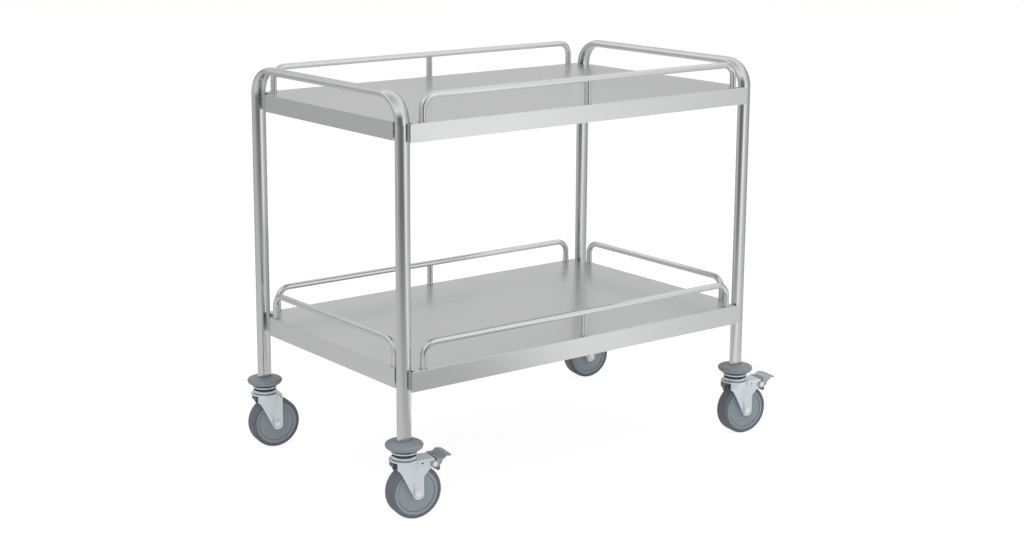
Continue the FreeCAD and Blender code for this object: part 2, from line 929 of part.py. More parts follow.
def fork_space(braked):
    """Side view of the space between the plates, under the crown and the bridge."""
    rear = S.brake_pin_x + 1 if braked else S.trail + S.arm_rear
    far = S.pedal_reach
    start = -S.crown_diameter
    under = bridge_top - S.fork_plate
    return [(start, ZERO), (far, ZERO), (far, crown_under)] + [
        (rear + 1, crown_under),
        (rear + 1, under),
        (S.crease_x, under),
        (S.crease_x, crown_under),
        (start, crown_under),
    ]


def crown_arc(body, name, level, narrowing, wall, end):
    """Plan of the rounded front of the fork at one level: an arc closed by a straight back.

    The arc is centred on the swivel axis. Narrowing shrinks it and wall takes off the plate.
    """
    sketch = new_sketch(body, name, "XY_Plane", level)
    radius = crown_radius - narrowing - wall
    reach = math.sqrt(radius.value**2 - end.value**2)
    angle = math.atan2(reach, end.value)
    circle = Part.Circle(vector(0, 0), vector(0, 0, 1), radius.value)
    sketch.addGeometry(Part.ArcOfCircle(circle, angle, 2 * math.pi - angle))
    sketch.addGeometry(Part.LineSegment(vector(end.value, -reach), vector(end.value, reach)))
    for join in ((0, 2, 1, 1), (1, 2, 0, 1)):
        sketch.addConstraint(Sketcher.Constraint("Coincident", *join))
    sketch.addConstraint(Sketcher.Constraint("Coincident", 0, 3, -1, 1))
    sketch.addConstraint(Sketcher.Constraint("Vertical", 1))
    hold(sketch, "Radius", (0,), radius, "arc_radius")
    hold(sketch, "DistanceX", (-1, 1, 1, 1), end, "back")
    return sketch


def flare(body, kind, wall, end):
    """The pressed shoulder: the crown's rim drawn in towards the flat arms."""
    top = crown_top - S.crown_skirt
    start = crown_arc(body, f"{kind}FlareTop", top, ZERO, wall, end)
    finish = crown_arc(body, f"{kind}FlareFoot", top - S.flare_height, S.flare_narrowing, wall, end)
    feature = body.newObject(f"PartDesign::{kind}Loft", f"{kind}Flare")
    feature.Profile = start
    feature.Sections = [finish]
    feature.Ruled = True
    return finish


def front_cut(body):
    """Cuts away what lies in front of the arms' slanting edge, rounded above and below."""
    sketch = new_sketch(body, "FrontEdge", "XZ_Plane")
    far = -S.crown_diameter
    skirt = crown_top - S.crown_skirt
    low = wheel_radius - S.arm_below
    slant = math.radians(S.front_edge_slant.value)
    outward = vector(-math.sin(slant), -math.cos(slant))
    middle = vector(S.arm_end_x.value, (low + S.arm_end_round).value)
    end = Part.Circle(middle, vector(0, 0, 1), S.arm_end_round.value)
    foot = middle + outward * end.Radius
    radius = S.front_hollow.value
    high = skirt.value - radius
    across = foot.x - (radius + math.cos(slant) * (high - foot.y)) / math.sin(slant)
    hollow = Part.Circle(vector(across, high), vector(0, 0, 1), radius)
    corner = vector(far.value, low.value)
    start = vector(far.value, skirt.value)
    sketch.addGeometry(
        [
            Part.LineSegment(start, vector(across, skirt.value)),
            Part.ArcOfCircle(hollow, math.pi / 2 - slant, math.pi / 2),
            Part.LineSegment(foot, hollow.Center - outward * radius),
            Part.ArcOfCircle(end, -math.pi / 2 - slant, -math.pi / 2),
            Part.LineSegment(vector(middle.x, low.value), corner),
            Part.LineSegment(corner, start),
        ]
    )
    for join in ((0, 2, 1, 2), (1, 1, 2, 2), (2, 1, 3, 1), (3, 2, 4, 1)):
        sketch.addConstraint(Sketcher.Constraint("Tangent", *join))
    for join in ((4, 2, 5, 1), (5, 2, 0, 1)):
        sketch.addConstraint(Sketcher.Constraint("Coincident", *join))
    for index in (0, 4):
        sketch.addConstraint(Sketcher.Constraint("Horizontal", index))
    sketch.addConstraint(Sketcher.Constraint("Vertical", 5))
    hold_point(sketch, 0, 1, (far, skirt), "start")
    hold_point(sketch, 3, 3, (S.arm_end_x, low + S.arm_end_round), "end")
    hold(sketch, "Radius", (1,), S.front_hollow, "hollow")
    hold(sketch, "Radius", (3,), S.arm_end_round, "round")
    angle = sketch.addConstraint(Sketcher.Constraint("Angle", 2, math.pi - slant))
    sketch.renameConstraint(angle, "slant")
    sketch.setExpression("Constraints.slant", "(180 - Sizes.front_edge_slant) * 1 deg")
    pocket(body, sketch, S.crown_diameter, "FrontCut", midplane=True)


def fork(corner, braked):
    """Pressed fork: crown with a skirt, flared shoulders, flat arms and, with a brake, two horns."""
    body = new_body(f"{corner}_fork")
    low = wheel_radius - S.arm_below
    rear = S.trail + S.arm_rear
    skirt = crown_top - S.crown_skirt
    side = new_sketch(body, "SideView", "XZ_Plane")
    draw_polygon(side, fork_side(braked))
    pad(body, side, fork_half * 2, "Plates", midplane=True)
    fillet(
        body,
        S.bridge_round,
        lambda edge, middle: along(edge, vector(1, 0, 0)) and near(middle.z, bridge_top),
        "BridgeRound",
    )
    crown = new_sketch(body, "CrownPlan", "XY_Plane", skirt)
    draw_circle(crown, (ZERO, ZERO), S.crown_diameter)
    pad(body, crown, S.crown_skirt, "Crown")
    shoulder = flare(body, "Additive", ZERO, S.crease_x)
    pad(body, shoulder, skirt - S.flare_height - low, "Shoulders", reverse=True)
    fillet(
        body,
        S.crown_round,
        lambda edge, middle: near(middle.z, crown_top)
        and near(math.hypot(middle.x, middle.y), crown_radius),
        "CrownRound",
    )
    space = new_sketch(body, "SpaceSide", "XZ_Plane")
    draw_polygon(space, fork_space(braked))
    pocket(body, space, S.fork_gap, "SpaceCut", midplane=True)
    dome = new_sketch(body, "DomePlan", "XY_Plane", skirt)
    draw_circle(dome, (ZERO, ZERO), S.crown_diameter - S.fork_plate * 2)
    pocket(body, dome, S.crown_skirt - S.fork_plate, "DomeCut", reverse=True)
    hollow = flare(body, "Subtractive", S.fork_plate, S.crease_x - S.fork_plate)
    pocket(body, hollow, skirt - S.flare_height - low, "ShoulderCut")
    front_cut(body)
    fillet(
        body,
        S.arm_end_round,
        lambda edge, middle: along(edge, vector(0, 1, 0))
        and near(middle.z, low)
        and near(middle.x, rear),
        "ArmEnds",
    )
    if braked:
        under = brake_pin_z - S.horn_end
        fillet(
            body,
            S.horn_hollow,
            lambda edge, middle: along(edge, vector(0, 1, 0))
            and near(middle.z, under - S.horn_rise)
            and near(middle.x, rear),
            "HornHollow",
        )
        fillet(
            body,
            S.horn_round,
            lambda edge, middle: along(edge, vector(0, 1, 0))
            and near(middle.x, S.brake_pin_x + S.horn_end),
            "HornRound",
        )
    kingpin = new_sketch(body, "KingpinHole", "XY_Plane", crown_under)
    draw_circle(kingpin, (ZERO, ZERO), S.kingpin_diameter + S.kingpin_play)
    pocket(body, kingpin, S.fork_plate, "KingpinHoleCut", reverse=True)
    holes = new_sketch(body, "CrossHoles", "XZ_Plane")
    draw_circle(holes, (S.trail, wheel_radius), S.axle_diameter + S.axle_hole_play)
    draw_circle(holes, (S.hook_hole_x, hook_hole_z), S.hook_hole_diameter)
    if braked:
        pin_hole = S.brake_pin_diameter + S.axle_hole_play
        draw_circle(holes, (S.brake_pin_x, brake_pin_z), pin_hole)
    pocket(body, holes, fork_half * 2, "CrossHoleCut", midplane=True)
    return castor_place(body, corner, True)


def kingpin_stem(corner):
    """Stem in the leg, flange on the bearing, kingpin and riveted end, all one turned piece."""
    pin = S.kingpin_diameter / 2
    stem = S.stem_diameter / 2
    foot = crown_under - S.bearing_gap / 2
    body = new_body(f"{corner}_stem")
    turned(
        body,
        [
            (ZERO, foot - S.rivet_height),
            (S.rivet_diameter / 2 - 1.5, foot - S.rivet_height),
            (S.rivet_diameter / 2, foot - S.rivet_height + 1.5),
            (S.rivet_diameter / 2, foot),
            (pin, foot),
            (pin, race_top),
            (S.stem_flange_diameter / 2, race_top),
            (S.stem_flange_diameter / 2, race_top + S.stem_flange),
            (stem, race_top + S.stem_flange),
            (stem, race_top + S.stem_flange + S.stem_length),
            (ZERO, race_top + S.stem_flange + S.stem_length),
        ],
    )
    across, deep = leg_place(corner)
    place(body, across, deep, ZERO)
    return body


def leg_plug(corner):
    """Oval plug in the foot of the tube that grips the castor's stem."""
    body = new_body(f"{corner}_plug")
    section = new_sketch(body, "Section", "XY_Plane", leg_foot)
    taken = S.tube_wall * 2 + S.plug_play
    draw_oval(section, (ZERO, ZERO), S.tube_wide - taken, S.tube_thick - taken)
    draw_circle(section, (ZERO, ZERO), S.stem_diameter + S.screw_play / 2)
    pad(body, section, S.plug_length, "Plug")
    across, deep = leg_place(corner)
    place(body, across, deep, ZERO)
    return body


def race(corner):
    """Pressed upper race of the swivel bearing."""
    body = new_body(f"{corner}_race")
    outer = S.race_diameter / 2
    bore = (S.kingpin_diameter + S.screw_play) / 2
    turned(
        body,
        [
            (bore, race_foot + 1),
            (outer - 6, race_foot + 1),
            (outer - 4, race_foot),
            (outer - 1, race_foot),
            (outer, race_foot + 1),
            (outer, race_top - 1.5),
            (outer - 1.5, race_top),
            (bore, race_top),
        ],
    )
    return castor_place(body, corner, False)


def bumper(corner):
    """Soft ring round the foot of the leg, with an oval socket for the tube."""
    body = new_body(f"{corner}_bumper")
    widest = S.bumper_diameter / 2
    waist = S.bumper_waist / 2
    neck = S.bumper_neck / 2
    bore = S.stem_flange_diameter / 2 + S.bumper_gap
    belt = bumper_foot + S.bumper_low
    slope_foot = bumper_top - S.bumper_socket
    turned(
        body,
        [
            (bore, bumper_foot),
            (waist - 1, bumper_foot),
            (waist, bumper_foot + 1),
            (widest, belt - S.bumper_band / 2),
            (widest, belt + S.bumper_band / 2),
            (neck, slope_foot),
            (neck - 1, bumper_top),
            (stem_bore(), bumper_top),
            (stem_bore(), race_top + S.stem_flange + S.bumper_gap),
            (bore, race_top + S.stem_flange + S.bumper_gap),
        ],
    )
    fillet(
        body,
        S.bumper_round,
        lambda edge, middle: edge.Curve.TypeId == "Part::GeomCircle"
        and near(math.hypot(middle.x, middle.y), widest),
        "BeltRound",
    )
    fillet(
        body,
        S.bumper_hollow,
        lambda edge, middle: edge.Curve.TypeId == "Part::GeomCircle"
        and near(math.hypot(middle.x, middle.y), neck)
        and near(middle.z, slope_foot),
        "NeckHollow",
    )
    socket = new_sketch(body, "Socket", "XY_Plane", leg_foot)
    draw_oval(
        socket, (ZERO, ZERO), S.tube_wide + S.bumper_gap, S.tube_thick + S.bumper_gap
    )
    pocket(body, socket, S.bumper_height, "SocketCut", reverse=True)
    return castor_place(body, corner, False)


def stem_bore():
    """Radius of the hole that the stem passes through."""
    return (S.stem_diameter + S.bumper_gap) / 2


# Foot brake

def brake_pedal(corner):
    """Stamped pedal: two ears on the pin, a flat tread over the horns and a raised toe."""
    body = new_body(f"{corner}_brake_pedal")
    plate = S.pedal_plate
    level = pedal_level
    half = fork_half + S.pedal_ear_gap + plate
    knee = S.pedal_flat_end + S.pedal_toe_run
    toe = level + S.pedal_toe_rise
    tread = new_sketch(body, "TreadSide", "XZ_Plane")
    draw_polygon(
        tread,
        [
            (S.pedal_front, level),
            (S.pedal_flat_end + 1, level),
            (knee + 1, toe),
            (S.pedal_reach, toe - S.pedal_tip_drop),
            (S.pedal_reach, toe - S.pedal_tip_drop + plate),
            (knee, toe + plate),
            (S.pedal_flat_end, level + plate),
            (S.pedal_front, level + plate),
        ],
    )
    pad(body, tread, half * 2, "Tread", midplane=True)
    ears = new_sketch(body, "EarSide", "XZ_Plane")
    pin_x, pin_z, ear = S.brake_pin_x, brake_pin_z, S.pedal_ear
    draw_polygon(
        ears,
        [
            (pin_x - ear, pin_z - ear * 0.4),
            (pin_x - ear * 0.4, pin_z - ear),
            (pin_x + ear * 0.6, pin_z - ear),
            (S.pedal_flat_end - 4, pin_z - ear * 0.3),
            (S.pedal_flat_end, level),
            (S.pedal_flat_end, level + plate),
            (S.pedal_front, level + plate),
            (S.pedal_front, level),
            (pin_x - ear * 0.4, pin_z + ear * 0.75),
            (pin_x - ear, pin_z + ear * 0.4),
        ],
    )
    pad(body, ears, half * 2, "Ears", midplane=True)
    space = new_sketch(body, "SpaceSide", "XZ_Plane")
    draw_polygon(
        space,
        [
            (pin_x - ear * 2, pin_z - ear * 2),
            (S.pedal_reach, pin_z - ear * 2),
            (S.pedal_reach, level - 2),
            (S.pedal_flat_end + 1, level),
            (pin_x - ear * 2, level),
        ],
    )
    pocket(body, space, (half - plate) * 2, "SpaceCut", midplane=True)
    hole = new_sketch(body, "PinHole", "XZ_Plane")
    draw_circle(hole, (pin_x, pin_z), S.brake_pin_diameter + S.brake_pin_play)
    pocket(body, hole, half * 2, "PinHoleCut", midplane=True)
    fillet(
        body,
        S.pedal_plate * 3,
        lambda edge, middle: along(edge, vector(0, 0, 1)) and near(middle.x, S.pedal_reach),
        "TipCorners",
    )
    return castor_place(body, corner, True)


def brake_pin(corner):
    """Pin through both horns, with a head outside each ear of the pedal."""
    body = new_body(f"{corner}_brake_pin")
    ear_face = fork_half + S.pedal_ear_gap + S.pedal_plate + 0.3
    section = new_sketch(body, "Section", "XZ_Plane")
    draw_circle(section, (S.brake_pin_x, brake_pin_z), S.brake_pin_diameter)
    pad(body, section, ear_face * 2, "Pin", midplane=True)
    for word, side in (("Near", 1), ("Far", -1)):
        head = new_sketch(body, f"{word}Head", "XZ_Plane", ear_face * side)
        draw_circle(head, (S.brake_pin_x, brake_pin_z), S.pin_head_diameter)
        pad(body, head, S.pin_head_height, f"{word}HeadPad", reverse=side < 0)
    return castor_place(body, corner, True)


def brake_shoe(corner):
    """Shoe under the tread that meets the tyre when the pedal is down."""
    body = new_body(f"{corner}_brake_shoe")
    swing = math.radians(S.brake_travel.value)
    reach = wheel_radius.value + S.shoe_gap.value
    pin = vector(S.brake_pin_x.value, brake_pin_z.value)

    def lifted(angle):
        """A point of the pressed shoe's face, turned back to where it is with the pedal up."""
        turn = math.radians(angle)
        pressed = vector(
            S.trail.value + reach * math.cos(turn), wheel_radius.value + reach * math.sin(turn)
        )
        arm = pressed - pin
        return pin + vector(
            arm.x * math.cos(swing) - arm.y * math.sin(swing),
            arm.x * math.sin(swing) + arm.y * math.cos(swing),
        )

    low, high = lifted(38.0), lifted(54.0)
    outline = [
        (S.pedal_front + 1.5, pedal_level),
        (high.x, high.y),
        (low.x, low.y),
        (low.x + 3, low.y + 3),
        (S.pedal_flat_end - 3, pedal_level - 8),
        (S.pedal_flat_end - 3, pedal_level),
    ]
    section = new_sketch(body, "Section", "XZ_Plane")
    draw_polygon(section, outline)
    pad(body, section, S.shoe_width, "Shoe", midplane=True)
    return castor_place(body, corner, True)


# The whole trolley

def build():
    end_frame("left_end_frame", -1)
    end_frame("right_end_frame", 1)
    shelf("top_shelf", S.top_deck, S.top_apron, False)
    shelf("bottom_shelf", S.bottom_deck, S.bottom_apron, True)
    shelf_channel("top_shelf_channel", S.top_deck)
    shelf_channel("bottom_shelf_channel", S.bottom_deck)
    shelf_rails("top", S.top_deck, False)
    shelf_rails("bottom", S.bottom_deck, True)
    shelf_fasteners()
    group("leg_plugs", [leg_plug(corner) for corner in CORNERS])
    group("castor_stems", [kingpin_stem(corner) for corner in CORNERS])
    for corner in CORNERS:
        braked = corner.startswith("front")
        bumper(corner)
        race(corner)
        fork(corner, braked)
        tyre(corner)
        hub(corner)
        bushes(corner)
        axle_bolt(corner)
        axle_nut(corner)
        if braked:
            brake_pedal(corner)
            brake_pin(corner)
            brake_shoe(corner)


def check_and_write():
    """Stops on any failed object or bad shape, then writes one file for each sub-part."""
    doc.recompute()
    failed = [o.Name for o in doc.Objects if {"Invalid", "Error"} & set(o.State)]
    if failed:
        raise RuntimeError(f"failed objects: {failed}")
    for node in nodes:
        if node.Shape.isNull() or not node.Shape.isValid():
            raise RuntimeError(f"bad shape: {node.Label}")
    os.makedirs("parts", exist_ok=True)
    for node in nodes:
        node.Shape.exportStep(f"parts/{node.Label}.step")
        print(f"{node.Label}: {len(node.Shape.Solids)} solid(s), {node.Shape.Volume:.0f} mm3")


build()
check_and_write()
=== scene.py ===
"""Looks of an instrument trolley: polished tube frames, folded sheet shelves and swivel castors."""

import logging
import math
from contextlib import contextmanager
from dataclasses import dataclass, field
from enum import Enum
from typing import Callable, Iterable, Iterator

import bmesh
import bpy
from mathutils import Matrix, Vector


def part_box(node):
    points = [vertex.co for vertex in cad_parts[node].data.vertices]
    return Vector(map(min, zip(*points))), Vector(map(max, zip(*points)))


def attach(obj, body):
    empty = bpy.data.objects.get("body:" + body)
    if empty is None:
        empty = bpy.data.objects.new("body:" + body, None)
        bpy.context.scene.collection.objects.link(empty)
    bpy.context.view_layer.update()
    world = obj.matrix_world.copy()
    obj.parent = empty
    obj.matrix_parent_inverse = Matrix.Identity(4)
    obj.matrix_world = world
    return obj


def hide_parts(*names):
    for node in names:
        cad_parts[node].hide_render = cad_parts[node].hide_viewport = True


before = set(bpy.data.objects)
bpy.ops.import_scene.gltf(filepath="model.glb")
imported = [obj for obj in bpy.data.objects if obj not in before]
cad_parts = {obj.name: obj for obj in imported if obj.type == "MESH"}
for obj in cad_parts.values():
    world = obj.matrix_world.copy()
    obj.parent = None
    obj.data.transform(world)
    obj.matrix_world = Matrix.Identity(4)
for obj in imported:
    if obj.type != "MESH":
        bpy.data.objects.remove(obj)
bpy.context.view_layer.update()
IMAGE_SIZE = (1024, 559)
MILLIMETRE = 0.001
# Share of a whole that counts as nearly all of it
NEARLY = 0.9

logging.basicConfig(level=logging.INFO, format="%(message)s")
log = logging.getLogger("trolley")

Colour = tuple[float, float, float]
Place = tuple[float, float, float]
Pair = tuple[float, float]
Socket = bpy.types.NodeSocket
Node = bpy.types.Node
Tree = bpy.types.NodeTree


def from_screen(red: int, green: int, blue: int) -> Colour:
    """Turns a colour as seen on a screen into the linear colour that shaders take.

    Args:
        red: Red from 0 to 255.
        green: Green from 0 to 255.
        blue: Blue from 0 to 255.

    Returns:
        The linear red, green and blue from 0 to 1.
    """

    def linear(level: int) -> float:
        """Undoes the screen's curve for one channel."""
        share = level / 255
        return share / 12.92 if share <= 0.04045 else ((share + 0.055) / 1.055) ** 2.4

    return linear(red), linear(green), linear(blue)


@dataclass(frozen=True)
class Room:
    """Brightness by direction of the white room that the metal mirrors."""

    # Compass angle in degrees and level round the horizon, with the front at -90
    band: tuple[tuple[int, float], ...] = (
        (-180, 0.54), (-150, 0.58), (-128, 0.58), (-117, 0.44), (-106, 0.20), (-90, 0.15),
        (-76, 0.24), (-69, 0.60), (-64, 1.14), (-57, 1.14), (-50, 0.88), (-42, 0.66),
        (-28, 0.58), (-12, 0.40), (12, 0.34), (32, 0.46), (48, 0.60), (62, 0.60),
        (76, 0.36), (95, 0.30), (112, 0.42), (126, 0.48), (150, 0.52), (180, 0.54))
    # Most that the band keeps above the horizon, then the levels over it, each with the
    # heights in radians between which it fades in
    cap: float = 0.94
    cap_rise: Pair = (0.1, 0.22)
    high: float = 0.92
    high_rise: Pair = (0.3, 0.7)
    ceiling: float = 0.60
    ceiling_rise: Pair = (0.75, 1.4)


ROOM = Room()


class Grain(Enum):
    """Which way the fine lines of a metal finish run."""

    ALONG_X = (3.0, 420.0, 420.0)
    ALONG_Z = (420.0, 420.0, 3.0)
    NONE = (260.0, 260.0, 260.0)


class Wiring:
    """A shader node tree that is filled in by short calls."""

    def __init__(self, tree: Tree) -> None:
        """Takes the tree to fill.

        Args:
            tree: The material's or group's node tree.
        """
        self.tree = tree

    def add(self, kind: str, **settings: object) -> Node:
        """Adds a node.

        Args:
            kind: The node's type without its ShaderNode prefix, or a full type name.
            **settings: Properties of the node to set.

        Returns:
            The new node.
        """
        full = kind if kind.startswith("NodeGroup") else f"ShaderNode{kind}"
        node = self.tree.nodes.new(full)
        for name, value in settings.items():
            setattr(node, name, value)
        return node

    def join(self, start: Socket, end: Socket) -> None:
        """Links an output socket to an input socket."""
        self.tree.links.new(start, end)

    def feed(self, value: object, socket: Socket) -> None:
        """Gives an input socket what it takes.

        Args:
            value: A socket to link or a number to set.
            socket: The input socket.
        """
        if isinstance(value, Socket):
            self.join(value, socket)
        else:
            socket.default_value = value

    def maths(self, operation: str, first: object, second: object) -> Socket:
        """Works out one number from two.

        Args:
            operation: Name of the Math node's operation.
            first: A socket or a number.
            second: A socket or a number.

        Returns:
            The output socket.
        """
        node = self.add("Math", operation=operation)
        for socket, value in zip(node.inputs, (first, second)):
            self.feed(value, socket)
        return node.outputs[0]

    def weighted(self, first: Socket, first_share: float,
                 second: Socket, second_share: float) -> Socket:
        """Adds two numbers by their weights.

        Args:
            first: The first number's socket.
            first_share: Its weight.
            second: The second number's socket.
            second_share: Its weight.

        Returns:
            The output socket.
        """
        return self.maths("ADD", self.maths("MULTIPLY", first, first_share),
                          self.maths("MULTIPLY", second, second_share))

    def noise(self, where: Socket, scale: object, detail: float,
              distortion: float = 0.0) -> Socket:
        """Adds a smooth noise.

        Args:
            where: The coordinates.
            scale: How fine it is, as a socket or a number.
            detail: How many finer layers it has.
            distortion: How much it swirls.

        Returns:
            The output socket.
        """
        node = self.add("TexNoise")
        self.join(where, node.inputs["Vector"])
        self.feed(scale, node.inputs["Scale"])
        node.inputs["Detail"].default_value = detail
        node.inputs["Distortion"].default_value = distortion
        return node.outputs["Fac"]

    def span(self, value: Socket, start: float, stop: float, low: float = 0.0,
             high: float = 1.0) -> Socket:
        """Maps a number from one range to another.

        Args:
            value: The number's socket.
            start: Where the first range starts.
            stop: Where the first range stops.
            low: What the start becomes.
            high: What the stop becomes.

        Returns:
            The output socket.
        """
        node = self.add("MapRange")
        self.join(value, node.inputs["Value"])
        for name, number in (("From Min", start), ("From Max", stop), ("To Min", low),
                             ("To Max", high)):
            node.inputs[name].default_value = number
        return node.outputs[0]

    def between(self, amount: object, low: object, high: object) -> Socket:
        """Blends from one number to another.

        Args:
            amount: A socket from 0 to 1.
            low: The number at 0, or its socket.
            high: The number at 1, or its socket.

        Returns:
            The output socket.
        """
        node = self.add("MapRange")
        self.join(amount, node.inputs["Value"])
        self.feed(low, node.inputs["To Min"])
        self.feed(high, node.inputs["To Max"])
        return node.outputs[0]


@dataclass
class SharedEffects:
    """Node groups that several finishes use, each built once."""

    groups: dict[str, Tree] = field(default_factory=dict)
    line_scale: float = 2.6
    line_share: float = 0.55
    streak_scale: float = 0.5
    streak_share: float = 0.45
    smear_edges: Pair = (0.38, 0.72)
    specks_per_smear: float = 22.0
    dust_scale: float = 90.0

    def group(self, name: str, inputs: dict[str, object], outputs: dict[str, str],
              fill: Callable[[Wiring, Node, Node], None]) -> Tree:
        """Builds a node group the first time that it is asked for.

        Args:
            name: The group's name.
            inputs: Input names and their default values; a tuple means a vector.
            outputs: Output names and their socket types.
            fill: Wires the inside between the group's input and output nodes.

        Returns:
            The group's node tree.
        """
        if name in self.groups:
            return self.groups[name]
        tree = bpy.data.node_groups.new(name, "ShaderNodeTree")
        for label, value in inputs.items():
            kind = "NodeSocketVector" if isinstance(value, tuple) else "NodeSocketFloat"
            socket = tree.interface.new_socket(label, in_out="INPUT", socket_type=kind)
            socket.default_value = value
        for label, kind in outputs.items():
            tree.interface.new_socket(label, in_out="OUTPUT", socket_type=kind)
        wiring = Wiring(tree)
        fill(wiring, wiring.add("NodeGroupInput"), wiring.add("NodeGroupOutput"))
        self.groups[name] = tree
        return tree

    def fine_lines(self) -> Tree:
        """Finds the group for fine polishing or brushing lines.

        Returns:
            The group's node tree.
        """

        def fill(wiring: Wiring, start: Node, end: Node) -> None:
            """Two noises, one a good deal coarser, stretched along the brushing direction.

            Args:
                wiring: The group's wiring.
                start: Its input node.
                end: Its output node.
            """
            stretch = wiring.add("VectorMath", operation="MULTIPLY")
            wiring.join(start.outputs["Vector"], stretch.inputs[0])
            wiring.join(start.outputs["Stretch"], stretch.inputs[1])
            fine = wiring.noise(stretch.outputs[0], self.line_scale, detail=3.0)
            wide = wiring.noise(stretch.outputs[0], self.streak_scale, detail=2.0)
            wiring.join(wiring.weighted(fine, self.line_share, wide, self.streak_share),
                        end.inputs["Lines"])

        return self.group(
            "Fine lines",
            {"Vector": (0.0, 0.0, 0.0), "Stretch": (1.0, 1.0, 1.0)},
            {"Lines": "NodeSocketFloat"},
            fill,
        )

    def handling(self) -> Tree:
        """Finds the group for soft smears and wipe marks.

        Returns:
            The group's node tree.
        """

        def fill(wiring: Wiring, start: Node, end: Node) -> None:
            """A slow noise for smears and a faster one for specks.

            Args:
                wiring: The group's wiring.
                start: Its input node.
                end: Its output node.
            """
            where, size = start.outputs["Vector"], start.outputs["Size"]
            smear = wiring.noise(where, size, detail=4.0, distortion=1.2)
            ramp = wiring.add("ValToRGB")
            for stop, edge in zip(ramp.color_ramp.elements, self.smear_edges):
                stop.position = edge
            wiring.join(smear, ramp.inputs["Fac"])
            finer = wiring.maths("MULTIPLY", size, self.specks_per_smear)
            speck = wiring.noise(where, finer, detail=2.0)
            wiring.join(ramp.outputs["Color"], end.inputs["Smears"])
            wiring.join(speck, end.inputs["Specks"])

        return self.group(
            "Handling marks",
            {"Vector": (0.0, 0.0, 0.0), "Size": 6.0},
            {"Smears": "NodeSocketFloat", "Specks": "NodeSocketFloat"},
            fill,
        )

    def room(self) -> Tree:
        """Finds the group for the white room's brightness in any direction.

        Returns:
            The group's node tree.
        """

        def fill(wiring: Wiring, start: Node, end: Node) -> None:
            """The band round the horizon, kept down a little above it, then the high levels.

            Args:
                wiring: The group's wiring.
                start: Its input node.
                end: Its output node.
            """
            parts = wiring.add("SeparateXYZ")
            wiring.join(start.outputs["Vector"], parts.inputs[0])
            x, y, z = parts.outputs
            share = wiring.span(wiring.maths("ARCTAN2", y, x), -math.pi, math.pi)
            band = wiring.add("ValToRGB")
            wiring.join(share, band.inputs["Fac"])
            stops = band.color_ramp.elements
            for angle, level in ROOM.band[1:-1]:
                stops.new((angle + 180) / 360)
            for stop, (angle, level) in zip(stops, ROOM.band):
                stop.color = (level, level, level, 1.0)
            flat = wiring.maths("SQRT", wiring.maths(
                "ADD", wiring.maths("MULTIPLY", x, x), wiring.maths("MULTIPLY", y, y)), 0.0)
            rise = wiring.maths("ARCTAN2", z, flat)
            capped = wiring.maths("MINIMUM", band.outputs["Color"], ROOM.cap)
            low = wiring.between(wiring.span(rise, *ROOM.cap_rise), band.outputs["Color"], capped)
            above = wiring.between(wiring.span(rise, *ROOM.ceiling_rise), ROOM.high, ROOM.ceiling)
            wiring.join(wiring.between(wiring.span(rise, *ROOM.high_rise), low, above),
                        end.inputs["Brightness"])

        return self.group("Room brightness", {"Vector": (0.0, 0.0, 0.0)},
                          {"Brightness": "NodeSocketFloat"}, fill)

    def settled_dust(self) -> Tree:
        """Finds the group that masks upward-facing surfaces with a thin broken film.

        Returns:
            The group's node tree.
        """

        def fill(wiring: Wiring, start: Node, end: Node) -> None:
            """How far the surface looks up, broken by noise.

            Args:
                wiring: The group's wiring.
                start: Its input node.
                end: Its output node.
            """
            parts = wiring.add("SeparateXYZ")
            wiring.join(start.outputs["Normal"], parts.inputs[0])
            facing = wiring.maths("MAXIMUM", parts.outputs["Z"], 0.0)
            noise = wiring.noise(start.outputs["Vector"], self.dust_scale, detail=5.0)
            broken = wiring.maths("MULTIPLY", facing, noise)
            wiring.join(wiring.maths("MULTIPLY", broken, start.outputs["Amount"]), end.inputs["Dust"])

        return self.group(
            "Settled dust",
            {"Vector": (0.0, 0.0, 0.0), "Normal": (0.0, 0.0, 1.0), "Amount": 0.2},
            {"Dust": "NodeSocketFloat"},
            fill,
        )


EFFECTS = SharedEffects()


